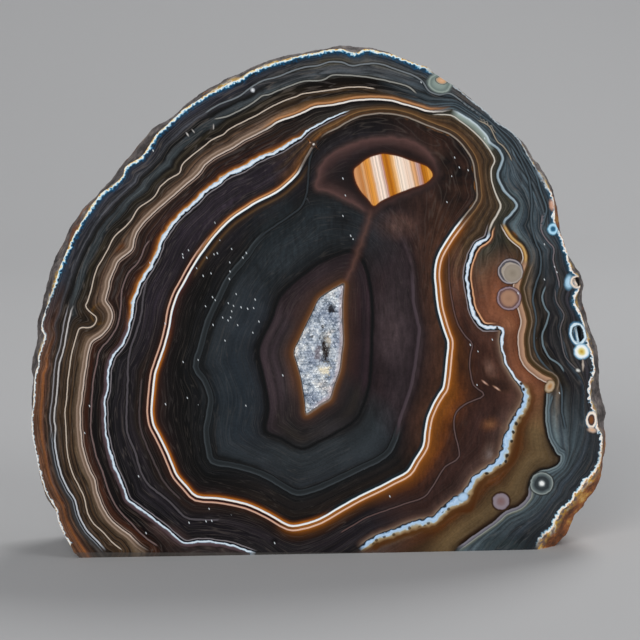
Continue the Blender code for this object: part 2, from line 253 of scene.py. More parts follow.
    "greyUpper": [
        (542.4, 214), (541, 229), (547.5, 241), (554, 248.5), (553, 260), (557.7, 276.5), (559.6, 288)],
    "blueGreyLow": [(552.7, 395), (549, 408), (549, 420), (551.4, 435.6), (558, 447), (566, 452)],
    "slateUp": [
        (246, 256), (258, 239.5), (272, 228), (288, 217), (300, 208), (306, 196), (308, 183), (309, 165),
        (312.5, 150), (318, 140)],
    "hairMiddle": [
        (150, 240), (145, 247), (138.6, 262), (128.4, 273), (122, 290), (120.8, 306.5), (118, 324),
        (109, 339.7), (100, 350), (96.5, 365), (93, 383), (91, 416), (91.4, 433.6), (96.5, 456.5),
        (103, 473), (109, 492), (117, 507.6), (129.7, 521.6), (145, 537), (158, 546)],
    "faintInner": [
        (142, 378), (139.9, 400), (139.9, 424.6), (146, 443.8), (152.7, 459), (161.6, 478), (170, 489),
        (181, 500)],
    "creamUpper": [
        (478, 120), (486, 124), (490.5, 128), (494.3, 136), (498, 142), (503, 146), (508.4, 153.5),
        (512, 161)],
    "slateStripe2": [(521, 150), (530, 163), (537, 178), (541, 192), (546, 206), (546, 214), (542, 228)],
    "slateStripe": [
        (462, 101), (477, 112), (490, 122), (502, 134), (514, 148), (522, 162), (529, 178), (531, 192),
        (532, 206), (531, 222), (535, 240), (540, 252), (541, 268), (536, 284), (533, 300), (536, 318),
        (534, 336), (536, 352), (545, 366), (556, 376), (562, 392), (562, 412), (566, 430)],
}


def curveThrough(points, closed=False, steps=3):  # a smooth curve through the points read off the stone
    points = [np.array(p, float) for p in points]
    count = len(points)
    curve = []
    for i in range(count if closed else count - 1):
        if closed:
            a, b, c, d = (points[(i + k) % count] for k in (-1, 0, 1, 2))
        else:
            a, b, c, d = points[max(i - 1, 0)], points[i], points[i + 1], points[min(i + 2, count - 1)]
        for step in range(steps):
            t = step / steps
            bend, twist = 2 * a - 5 * b + 4 * c - d, 3 * b - a - 3 * c + d
            curve.append(0.5 * (2 * b + (c - a) * t + bend * t**2 + twist * t**3))
    if not closed:
        curve.append(points[-1])
    return np.array(curve)


def lineField(spots, line, closed=False):
    # distance to a line with its side as the sign, and how far along the line the nearest point lies
    starts, ends = (line, np.roll(line, -1, axis=0)) if closed else (line[:-1], line[1:])
    starts, ends = starts.astype(np.float32), ends.astype(np.float32)
    run = ends - starts
    lengths = np.maximum(np.hypot(run[:, 0], run[:, 1]), 1e-6)
    before = np.concatenate([[0], np.cumsum(lengths)[:-1]]).astype(np.float32)
    distance = np.empty(len(spots), np.float32)
    along = np.empty(len(spots), np.float32)
    for first in range(0, len(spots), 2048):
        part = spots[first:first + 2048].astype(np.float32)
        dx = part[:, :1] - starts[None, :, 0]
        dy = part[:, 1:] - starts[None, :, 1]
        raw = (dx * run[:, 0] + dy * run[:, 1]) / lengths**2
        t = np.clip(raw, 0, 1)
        ex, ey = dx - t * run[:, 0], dy - t * run[:, 1]
        square = ex * ex + ey * ey
        nearest = np.argmin(square, axis=1)
        rows = np.arange(len(part))
        side = run[nearest, 0] * dy[rows, nearest] - run[nearest, 1] * dx[rows, nearest]
        distance[first:first + 2048] = np.sqrt(square[rows, nearest]) * np.where(side < 0, -1, 1)
        share = t[rows, nearest]
        if not closed:  # past an end, the count runs on below 0 or above 1
            pastEnd = ((nearest == 0) & (share == 0)) | ((nearest == len(run) - 1) & (share == 1))
            share = np.where(pastEnd, raw[rows, nearest], share)
        along[first:first + 2048] = before[nearest] + share * lengths[nearest]
    return distance, along / lengths.sum()


def isInside(spots, outline):
    x, y = spots[:, 0], spots[:, 1]
    crossings = np.zeros(len(spots), bool)
    for (ax, ay), (bx, by) in zip(outline, np.roll(outline, -1, axis=0)):
        if ay == by:
            continue
        spans = (ay > y) != (by > y)
        crossings ^= spans & (x < ax + (bx - ax) * (y - ay) / (by - ay))
    return crossings


# The growth of the stone runs inwards over these closed lines. Those that meet the base close below it.
belowBase = [(140, 600), (320, 640), (470, 600)]
growthLines = [
    bandLines["faceEdge"],
    bandLines["thinWhite"][2:] + belowBase + [
        (485, 552), (500, 535), (512, 524), (528, 515), (540, 506), (551, 492), (556, 480), (566, 470),
        (572, 458), (578, 445), (584, 425), (584, 405), (584, 385), (574, 369), (569, 362), (565, 349),
        (561.6, 337), (560, 328.5), (563, 317), (560, 309), (556, 298), (559, 283), (556, 271.6),
        (553, 260), (553.5, 248.6), (548.4, 242), (542, 231), (542, 217), (536, 200), (530, 185),
        (520, 170), (512, 158), (508, 147), (500, 137), (490, 127), (480, 119), (470, 112), (456, 104),
        (445, 104), (430, 105), (417, 101), (404, 98), (391, 94), (375, 90), (360, 87)],
    bandLines["tanWhite"] + [(170, 590), (300, 620), (430, 580)] + bandLines["brownToGrey"][::-1]
    + bandLines["amber"][-3:0:-1] + bandLines["blueWhite"][-5:0:-1],
    bandLines["laceLeft"] + [(300, 580)] + bandLines["laceRight"][::-1]
    + [(408, 109), (390, 107), (372, 107)],
    bandLines["doubleWhite"], bandLines["slateRing"], bandLines["slateInner"], bandLines["hollow"],
]
bandsPerZone = [0, 7, 11, 17, 28, 39, 51, 60, 61]  # fine bands counted from the rind, at each growth line


def growthOf(spots):
    curves = [curveThrough(points, closed=True) for points in growthLines]
    gaps = [np.abs(lineField(spots, curve, closed=True)[0]) for curve in curves]
    zone = np.full(len(spots), -1)
    for number, curve in enumerate(curves):
        zone[isInside(spots, curve)] = number
    growth = np.empty(len(spots))
    for number in range(-1, len(curves)):
        here = zone == number
        if number < 0:
            growth[here] = -gaps[0][here] / 20
        elif number == len(curves) - 1:
            growth[here] = number + gaps[number][here] / 20
        else:
            growth[here] = number + gaps[number][here] / (gaps[number] + gaps[number + 1] + 1e-6)[here]
    return growth


# The stone's shape
stoneShape = {
    "ringPoints": 700,  # round the stone
    "faceStepPx": 2.2,  # between the points of the polished face, to carry the bands
    "backStepMm": 1.05,
    "widestDepth": 7 * mm,  # behind the face, where the rind stands out most
    "backInset": 6.5 * mm,
    "edgeRound": 0.5 * mm,
    "lump": 9 * mm,  # the rind's main lumps, as in the solid
    "lumpHeight": 0.8 * mm,
    "knob": 2.6 * mm,  # finer knobs of the crust
    "knobDepth": 0.45 * mm,
    "grainHollow": 0.9 * mm,
    "grainDepth": 0.16 * mm,
    "rindInset": 0.1 * mm,  # all of it, to keep the lumps inside the solid
    "chips": ((1.3 * mm, 0.14 * mm), (0.5 * mm, 0.07 * mm)),  # along the edge: size, height
    "centreHeight": 46 * mm,
    "chamfer": 1.3 * mm,
    "chamferFrom": -47 * mm,
    "chamferTo": 14 * mm,
    "hollowDepth": 4.5 * mm,
    "hollowTaper": 0.18,
    # open bubbles at the right rim: pixel, half width, half height, depth
    "rimPits": [((577, 282), 0.9 * mm, 0.9 * mm, 1.3 * mm), ((578, 334), 1.0 * mm, 1.8 * mm, 1.6 * mm)],
}
sideFront, sideRind, sideBack, sideBase, sideChamfer, sideHollow = range(6)


def outlineRadius(points, depth):  # from an angle round the centre to the outline's distance
    spots = np.array([placed(p, depth) for p in curveThrough(points, closed=True, steps=4)])
    arms = spots - np.array([0, stoneShape["centreHeight"]])
    angles, radii = np.arctan2(arms[:, 1], arms[:, 0]), np.hypot(arms[:, 0], arms[:, 1])
    return lambda angle: np.interp(angle, *zip(*sorted(zip(angles, radii))), period=math.tau)


faceRadius = outlineRadius(bandLines["faceEdge"], 0)
rindRadius = outlineRadius(bandLines["rindEdge"], stoneShape["widestDepth"])
hollowCurve = curveThrough(bandLines["hollow"], closed=True, steps=4)


def rindRows():
    rows = [(0, 0, 0)]
    swell = ((0, 0), (0.8 * mm, 0.4), (3 * mm, 0.85), (7 * mm, 1))
    for depth in np.concatenate([np.linspace(0.35, 6.3, 12), np.linspace(7, 27.5, 30)]) * mm:
        share = max(0, (depth - stoneShape["widestDepth"]) / (depthOfSlice - stoneShape["widestDepth"]))
        rows.append((depth, np.interp(depth, *zip(*swell)), stoneShape["backInset"] * share**1.8))
    rows.append((depthOfSlice, 1, stoneShape["backInset"] + stoneShape["edgeRound"]))
    return rows


def rowRadii(angles, depth, swell, inset):
    near, wide = faceRadius(angles), rindRadius(angles)
    return near + (wide - near) * swell - inset


def hexGrid(low, high, step, jitter, seed):  # even points with a little disorder, so no rows show
    rng = np.random.default_rng(seed)
    rowStep = step * math.sqrt(3) / 2
    xs = np.arange(low[0], high[0], step)
    ys = np.arange(low[1], high[1], rowStep)
    grid = np.array([(x + (row % 2) * step / 2, y) for row, y in enumerate(ys) for x in xs])
    return grid + rng.uniform(-jitter, jitter, grid.shape) * step


def fillFlat(outline, extra, hole=None):
    # triangles over a flat outline, using the outline's points first and the extra ones inside it
    ring = list(range(len(outline)))
    edges = [(a, (a + 1) % len(outline)) for a in ring]
    points = list(outline)
    if hole is not None:
        start = len(points)
        edges += [(start + a, start + (a + 1) % len(hole)) for a in range(len(hole))]
        points += list(hole)
    points += list(extra)
    made = delaunay_2d_cdt([Vector(p) for p in points], edges, [], 1, 1e-7)
    spots, triangles = np.array([tuple(p) for p in made[0]]), np.array(made[2])
    if hole is not None:
        middles = spots[triangles].mean(axis=1)
        triangles = triangles[~isInside(middles, np.array(hole))]
    return spots, triangles


def buildStone():
    verts, faces, sides = [], [], []
    count = stoneShape["ringPoints"]
    angles = np.linspace(-math.pi / 2, 1.5 * math.pi, count, endpoint=False)
    rings = []
    for depth, swell, inset in rindRows():
        radii = rowRadii(angles, depth, swell, inset)
        ring = []
        for angle, radius in zip(angles, radii):
            outwards = Vector((math.cos(angle), 0, math.sin(angle)))
            spot = outwards * radius + Vector((0, faceY + depth, stoneShape["centreHeight"]))
            away = 0
            if depth == 0:
                for size, height in stoneShape["chips"]:
                    away += noise.noise(spot / size) * height
                spot += outwards * away
            elif depth < depthOfSlice:
                fade = min(1, depth / (0.8 * mm))
                lump = noise.fractal(spot / stoneShape["lump"], 1.0, 2.0, 3) - 0.25
                knob = 0.5 + 0.5 * noise.fractal(spot / stoneShape["knob"], 1.0, 2.0, 2)
                grain = abs(noise.noise(spot / stoneShape["grainHollow"])) * stoneShape["grainDepth"] * 2
                away = lump * stoneShape["lumpHeight"] - knob * stoneShape["knobDepth"] * 0.7 - grain
                spot += outwards * (away - stoneShape["rindInset"]) * fade
            ring.append(len(verts))
            verts.append(tuple(spot))
        rings.append(ring)
    for first, second in zip(rings, rings[1:]):
        for i in range(count):
            j = (i + 1) % count
            faces.append((first[j], first[i], second[i], second[j]))
            sides.append(sideRind)

    # the polished face, with the hollow's mouth cut out of it
    frontRing = np.array([(verts[i][0], verts[i][2]) for i in rings[0]])
    ringPx = pixelsOf(frontRing[:, 0], frontRing[:, 1])
    grid = hexGrid((20, 35), (615, 560), stoneShape["faceStepPx"], 0.12, 3)
    for (px, py), *_ in stoneShape["rimPits"]:  # closer points round the open bubbles
        near = hexGrid((px - 10, py - 13), (px + 10, py + 13), 0.9, 0.1, 4)
        grid = grid[(np.abs(grid[:, 0] - px) > 10) | (np.abs(grid[:, 1] - py) > 13)]
        grid = np.concatenate([grid, near])
    low = hexGrid((20, 562), (615, 625), 9, 0.1, 5)
    grid = np.concatenate([grid, low])
    clear = isInside(grid, ringPx) & (np.abs(lineField(grid, ringPx, closed=True)[0]) > 1.0)
    clear &= ~isInside(grid, hollowCurve) & (np.abs(lineField(grid, hollowCurve, closed=True)[0]) > 1.2)
    grid = grid[clear]
    spots, triangles = fillFlat(ringPx, grid, hollowCurve)
    place = {}
    for number, spot in enumerate(spots):
        if number < count:
            place[number] = rings[0][number]
            continue
        place[number] = len(verts)
        x, z = placed(spot)
        verts.append((x, faceY, z))
    for a, b, c in triangles:
        faces.append((place[a], place[c], place[b]))
        sides.append(sideFront)

    # the hollow's wall and floor
    mouth = [place[count + i] for i in range(len(hollowCurve))]
    middle = np.array([(verts[i][0], verts[i][2]) for i in mouth]).mean(axis=0)
    above = mouth
    for level in range(1, 6):
        depth = stoneShape["hollowDepth"] * level / 5
        ring = []
        for i in mouth:
            arm = np.array([verts[i][0], verts[i][2]]) - middle
            x, z = middle + arm * (1 - stoneShape["hollowTaper"] * level / 5)
            ring.append(len(verts))
            verts.append((x, faceY + depth, z))
        for i in range(len(ring)):
            j = (i + 1) % len(ring)
            faces.append((above[i], above[j], ring[j], ring[i]))
            sides.append(sideHollow)
        above = ring
    floorRing = np.array([(verts[i][0], verts[i][2]) for i in above]) / mm
    grid = hexGrid(floorRing.min(axis=0), floorRing.max(axis=0), 0.8, 0.2, 6)
    grid = grid[isInside(grid, floorRing) & (np.abs(lineField(grid, floorRing, closed=True)[0]) > 0.3)]
    spots, triangles = fillFlat(floorRing, grid)
    place = list(above)
    for spot in spots[len(above):]:
        place.append(len(verts))
        verts.append((spot[0] * mm, faceY + stoneShape["hollowDepth"], spot[1] * mm))
    for a, b, c in triangles:
        faces.append((place[a], place[c], place[b]))
        sides.append(sideHollow)

    # the sawn back
    backRing = np.array([(verts[i][0], verts[i][2]) for i in rings[-1]]) / mm
    grid = hexGrid(backRing.min(axis=0), backRing.max(axis=0), stoneShape["backStepMm"], 0.12, 7)
    grid = grid[isInside(grid, backRing) & (np.abs(lineField(grid, backRing, closed=True)[0]) > 0.4)]
    spots, triangles = fillFlat(backRing, grid)
    place = list(rings[-1])
    for spot in spots[count:]:
        place.append(len(verts))
        verts.append((spot[0] * mm, faceY + depthOfSlice, spot[1] * mm))
    for a, b, c in triangles:
        faces.append((place[a], place[b], place[c]))
        sides.append(sideBack)

    mesh = bpy.data.meshes.new("agate_stone")
    mesh.from_pydata(verts, [], faces)
    bm = bmesh.new()
    bm.from_mesh(mesh)
    sideLayer = bm.faces.layers.int.new("side")
    bm.faces.ensure_lookup_table()
    for face, side in zip(bm.faces, sides):
        face[sideLayer] = side

    # open bubbles: points inside one sink onto its wall
    for pixel, halfWidth, halfHeight, depth in stoneShape["rimPits"]:
        x, z = placed(pixel)
        for vert in bm.verts:
            reach = ((vert.co.x - x) / halfWidth) ** 2 + ((vert.co.z - z) / halfHeight) ** 2
            if reach < 1:
                vert.co.y = max(vert.co.y, faceY + depth * math.sqrt(1 - reach))

    # the sawn base, then the broken lower front edge
    run = stoneShape["chamferTo"] - stoneShape["chamferFrom"]
    cuts = [
        ((0, 0, 0), (0, 0, -1), sideBase, 0.8),
        ((stoneShape["chamferTo"], faceY, 0), (-stoneShape["chamfer"], -run, -run), sideChamfer, 0.3),
    ]
    for point, outwards, side, step in cuts:
        outwards = Vector(outwards).normalized()
        cut = bmesh.ops.bisect_plane(
            bm, geom=bm.verts[:] + bm.edges[:] + bm.faces[:], plane_co=point, plane_no=outwards,
            clear_outer=True, dist=1e-8)
        edges = [item for item in cut["geom_cut"] if isinstance(item, bmesh.types.BMEdge)]
        loop = [edges[0].verts[0], edges[0].verts[1]]
        used = {edges[0]}
        cutEdges = set(edges)
        while True:
            nextEdge = next((e for e in loop[-1].link_edges if e in cutEdges and e not in used), None)
            if nextEdge is None:
                break
            used.add(nextEdge)
            other = nextEdge.other_vert(loop[-1])
            if other is loop[0]:
                break
            loop.append(other)
        across = Vector((1, 0, 0)) - outwards * outwards.x
        across.normalize()
        upwards = outwards.cross(across)
        origin = Vector(point)
        flat = np.array([((v.co - origin).dot(across), (v.co - origin).dot(upwards)) for v in loop]) / mm
        grid = hexGrid(flat.min(axis=0), flat.max(axis=0), step, 0.1, 8)
        grid = grid[isInside(grid, flat) & (np.abs(lineField(grid, flat, closed=True)[0]) > step * 0.4)]
        spots, triangles = fillFlat(flat, grid)
        place = []
        for number, spot in enumerate(spots):
            if number < len(loop):
                place.append(loop[number])
            else:
                place.append(bm.verts.new(origin + across * spot[0] * mm + upwards * spot[1] * mm))
        for a, b, c in triangles:
            face = bm.faces.new((place[a], place[b], place[c]))
            face[sideLayer] = side
            face.normal_update()
            if face.normal.dot(outwards) < 0:
                face.normal_flip()
    bmesh.ops.triangulate(bm, faces=[f for f in bm.faces if len(f.verts) > 4])
    for face in bm.faces:
        face.material_index = {sideFront: 0, sideRind: 1}.get(face[sideLayer], 2)
        face.smooth = True
    bm.to_mesh(mesh)
    bm.free()
    mesh.set_sharp_from_angle(angle=math.radians(35))
    stone = bpy.data.objects.new("agate_stone", mesh)
    scene.collection.objects.link(stone)
    return stone


stone = buildStone()
print("stone cut")

# Where the bands run, kept at the points of the mesh
laceWidths = {  # half the width of each lace line, in pixels, where it passes these points
    "laceLeft": [
        ((350, 110), 0.51), ((320, 122), 0.85), ((301, 137), 1.1), ((288, 144), 1.7), ((262, 158), 1.61),
        ((218, 183), 1.78), ((180, 216), 1.53), ((154, 260), 1.61), ((142, 281), 1.36),
        ((133, 303), 1.44), ((131, 322), 1.02), ((113, 356), 1.02), ((108, 378), 1.02),
        ((105, 405), 0.81), ((106, 430), 0.77), ((112, 457), 1.19), ((125, 490), 1.02),
        ((152, 518), 1.02), ((180, 540), 0.85), ((256.5, 554), 1.1)],
    "laceRight": [
        ((431.8, 114.6), 0.59), ((480, 139), 0.68), ((494, 160), 0.77), ((491.7, 181), 0.68),
        ((500, 206), 1.02), ((489, 230), 1.02), ((478, 243.5), 1.7), ((469, 262), 1.7),
        ((467, 284), 1.44), ((471, 306), 1.36), ((478, 320), 1.87), ((494, 327.4), 1.61),
        ((503, 330), 1.53), ((501.6, 340), 1.44), ((505, 358), 1.02), ((513, 374), 1.1),
        ((520, 384), 1.61), ((525, 395), 2.21), ((519.5, 413), 2.55), ((509, 436), 2.72),
        ((505, 447), 3.23), ((498, 462), 2.72), ((482, 473), 2.04), ((470, 486), 2.04),
        ((463, 496), 3.57), ((450, 505), 2.21), ((433, 520), 2.38), ((419, 523), 2.89),
        ((404, 527), 2.55), ((380, 536), 1.87), ((359, 549.6), 1.87)],
}
closedLines = {"faceEdge", "doubleWhite", "slateRing", "slateInner", "hollow", "window", "halo"}
# Colours change round the stone, so each run of bands belongs to a sector, seen from the middle.
# Angles are in degrees, from the right and against the clock: where a sector begins and ends in full.
bandCentre = (320, 345)
outerSectors = {
    "lowerLeft": (186, 228), "upperLeft": (106, 166), "top": (78, 90), "upperRight": (30, 62),
    "right": (-9, 14), "lowerRight": (-58, -22), "bottom": (242, 286),
}
innerSectors = {
    "innerLeft": (150, 232), "innerTop": (75, 128), "innerRight": (-38, 48),
    "innerBottom": (250, 304)}


def linear(hexColour, alpha=1.0):
    channels = [int(hexColour[i:i + 2], 16) / 255 for i in (1, 3, 5)]
    return (*[c / 12.92 if c <= 0.04045 else ((c + 0.055) / 1.055) ** 2.4 for c in channels], alpha)


# The thin lines: colour, and half their width in pixels
hairLines = {
    "outerGrey": ("#70767a", 0.7), "greyToBlack": ("#8a8a84", 0.65),
    "slateStripe": ("#414c53", 0.8), "slateStripe2": ("#46545c", 0.8), "greyUpper": ("#6f676b", 0.6),
    "greyMiddle": ("#5a5658", 0.6), "greyNear": ("#66757c", 0.8), "blueGreyLow": ("#5a686e", 0.8),
    "creamUpper": ("#8f8678", 0.6), "hairMiddle": ("#6d5a58", 0.7), "faint": ("#4c474b", 0.9),
    "faintInner": ("#463c3c", 0.8), "mauve": ("#5a4644", 0.6), "thinWhite": ("#c0b0a0", 0.55),
    "slateUp": ("#2a2f33", 0.8), "slateInner": ("#08090b", 0.9)}


def sectorShares(angles, sectors):
    # how much of each sector shows at an angle, as the share that covers what was laid before it
    names = sorted(sectors, key=lambda name: sectors[name][0] % 360)
    total = np.zeros_like(angles)
    shares = {}
    for name in sectors:
        start, end = sectors[name]
        at = names.index(name)
        gapBefore = (start - sectors[names[at - 1]][1]) % 360
        gapAfter = (sectors[names[(at + 1) % len(names)]][0] - end) % 360
        width = (end - start) % 360
        turned = (angles - start) % 360
        weight = np.where(turned <= width, 1.0, 0.0)
        weight = np.maximum(weight, np.clip(1 - (turned - width) / gapAfter, 0, 1) * (turned > width))
        weight = np.maximum(weight, np.clip(1 - (360 - turned) / gapBefore, 0, 1) * (turned > width))
        total += weight
        shares[name] = weight / np.maximum(total, 1e-6)
    return shares


def alongOf(name, spot):  # how far along a line, from 0 to 1, the point nearest to a spot lies
    closed = name in closedLines
    _, along = lineField(np.array([spot], float), curveThrough(bandLines[name], closed), closed)
    return float(np.clip(along[0], 0, 1))


def storeBands(mesh):
    spots = np.empty(len(mesh.vertices) * 3)
    mesh.vertices.foreach_get("co", spots)
    x, y, z = spots.reshape(-1, 3).T
    # behind the face, the bands shrink with the outline
    angle = np.arctan2(z - stoneShape["centreHeight"], x)
    depths, swells, insets = np.array(rindRows()).T
    depth = y - faceY
    outline = rowRadii(angle, depth, np.interp(depth, depths, swells), np.interp(depth, depths, insets))
    inHollow = (depth < 5 * mm) & (np.hypot(x, z - stoneShape["centreHeight"]) < 25 * mm) & (z > 1 * mm)
    shrink = np.where((depth < 1e-6) | inHollow, 1, faceRadius(angle) / outline)
    pixels = pixelsOf(x * shrink, stoneShape["centreHeight"] + (z - stoneShape["centreHeight"]) * shrink)
    # and they aren't quite the same so much deeper in the stone
    drift = np.sin(pixels[:, ::-1] / 31 + [1.0, 2.3]) + np.sin(pixels / 19 + [0.4, 4.0]) * 0.5
    pixels = pixels + drift * (depth / depthOfSlice * 6)[:, None] * (~inHollow)[:, None]

    def keep(name, values):
        kind = "FLOAT" if np.ndim(values) == 1 else "FLOAT_VECTOR"
        data = mesh.attributes.new(name, kind, "POINT").data
        data.foreach_set("value" if kind == "FLOAT" else "vector", np.asarray(values, np.float32).ravel())

    keep("pixel", np.column_stack([pixels, depth / mm]))
    growth = growthOf(pixels)
    keep("growth", growth)
    keep("bandCount", np.interp(growth, range(9), bandsPerZone))
    keep("depth", depth / mm)
    arms = pixels - bandCentre
    degrees = np.degrees(np.arctan2(-arms[:, 1], arms[:, 0]))
    for sectors in (outerSectors, innerSectors):
        for name, share in sectorShares(degrees, sectors).items():
            keep(name, share)
    # fine bands show most near the rim and on the left; the brown right side and the middle are almost even
    rightSide = sum(sectorShares(degrees, outerSectors)[name] for name in ("right", "lowerRight"))
    evened = 1 - rightSide * np.interp(growth, [1.9, 2.1], [0.35, 0.75])
    keep("fine", np.interp(growth, [0, 2.6, 3.6, 5], [1, 0.9, 0.6, 0.3]) * evened)
    centre = np.array([bandCentre], float)
    nearest = np.full(len(pixels), 1e9)
    hair, hairColour = np.zeros((len(pixels), 3)), np.zeros((len(pixels), 3))
    for name in bandLines:
        if name == "rindEdge":
            continue
        closed = name in closedLines
        curve = curveThrough(bandLines[name], closed)
        distance, along = lineField(pixels, curve, closed)
        if closed:
            distance = np.abs(distance) * np.where(isInside(pixels, curve), -1, 1)
        elif lineField(centre, curve, closed)[0][0] > 0:  # outwards counts as more
            distance = -distance
        if name in hairLines:  # each spot keeps the nearest one: its distance in half widths, its colour
            shade, half = hairLines[name]
            length = np.hypot(*np.diff(curve, axis=0).T).sum()
            ends = np.ones_like(along)
            if not closed:
                ends = np.clip(np.minimum(along, 1 - along) * length / 4, 0, 1)
            reach = np.abs(distance) / half
            closer = reach < nearest
            nearest[closer] = reach[closer]
            hair[closer] = np.column_stack([distance / half, reach, ends])[closer]
            hairColour[closer] = linear(shade)[:3]
            continue
        keep(name, np.column_stack([distance, along, along * 0]))
        if name in laceWidths:
            marks = [(alongOf(name, at), half) for at, half in laceWidths[name]]
            keep(name + "Half", np.interp(along, *zip(*marks)))
    keep("hairline", hair)
    keep("hairColour", hairColour)


storeBands(stone.data)
print("bands measured")


def unwrapStone(mesh):
    # the face fills most of the square; the back, the rind and the base lie above it
    corners = len(mesh.loops)
    index = np.empty(corners, int)
    mesh.loops.foreach_get("vertex_index", index)
    spots = np.empty(len(mesh.vertices) * 3)
    mesh.vertices.foreach_get("co", spots)
    x, y, z = (spots.reshape(-1, 3)[index] / mm).T
    side = np.empty(len(mesh.polygons), int)
    mesh.attributes["side"].data.foreach_get("value", side)
    totals = np.empty(len(mesh.polygons), int)
    mesh.polygons.foreach_get("loop_total", totals)
    side = np.repeat(side, totals)
    u, v = np.zeros(corners), np.zeros(corners)
    texel = 1 / 1024
    for which in range(6):
        here = side == which
        if which == sideFront:
            u[here], v[here] = (8 + (x[here] + 58.5) * 7.4) * texel, (8 + z[here] * 7.4) * texel
        elif which == sideBack:
            u[here], v[here] = (12 + (x[here] + 54) * 2.3) * texel, (775 + z[here] * 2.3) * texel
        elif which == sideBase:
            u[here], v[here] = (300 + (x[here] + 50) * 3) * texel, (900 + (y[here] + 14) * 3) * texel
        elif which == sideChamfer:
            u[here], v[here] = (640 + (x[here] + 54) * 3) * texel, (900 + z[here] * 5) * texel
        elif which == sideHollow:
            u[here] = (885 + (x[here] - np.mean(x[here])) * 3 + 50) * texel
            v[here] = (60 + (z[here] - np.min(z[here])) * 3 + 300) * texel
        else:
            turn = (np.degrees(np.arctan2(z[here] - 46, x[here])) + 90) % 360
            u[here], v[here] = (290 + turn * 2) * texel, (790 + (y[here] + 14) * 3.2) * texel
    layer = mesh.uv_layers.new(name="OFBake")
    layer.data.foreach_set("uv", np.column_stack([u, v]).astype(np.float32).ravel())


unwrapStone(stone.data)


# Adds one node. Inputs are a list from the first socket on, or a dictionary by name or number.
def addNode(tree, kind, inputs=(), stops=None, **settings):
    node = tree.nodes.new(kind if kind.startswith("NodeGroup") else "ShaderNode" + kind)
    for name, value in settings.items():
        setattr(node, name, value)
    for key, value in inputs.items() if isinstance(inputs, dict) else enumerate(inputs):
        if isinstance(value, bpy.types.Node):  # a node stands for its first output in use
            value = next(out for out in value.outputs if out.enabled)
        if isinstance(value, bpy.types.NodeSocket):
            tree.links.new(value, node.inputs[key])
        else:
            node.inputs[key].default_value = value
    if stops:
        marks = node.color_ramp.elements
        while len(marks) < len(stops):
            marks.new(1)
        for mark, (place, *colour) in zip(marks, stops):
            mark.position = place
            mark.color = linear(*colour)
    return node


def profile(tree, value, marks):  # colours, and how far they cover, along a measured value
    low, high = marks[0][0], marks[-1][0]
    place = addNode(tree, "Math", [value, 1 / (high - low), -low / (high - low)],
        operation="MULTIPLY_ADD")
    return addNode(tree, "ValToRGB", [place], [((at - low) / (high - low), *look) for at, *look in marks])


def layOver(tree, under, ramp, *shares):  # lays a ramp's colour over what is there
    cover = ramp.outputs["Alpha"]
    for share in shares:
        cover = addNode(tree, "Math", [cover, share], operation="MULTIPLY")
    return addNode(tree, "Mix", {0: cover, 6: under, 7: ramp.outputs["Color"]}, data_type="RGBA")


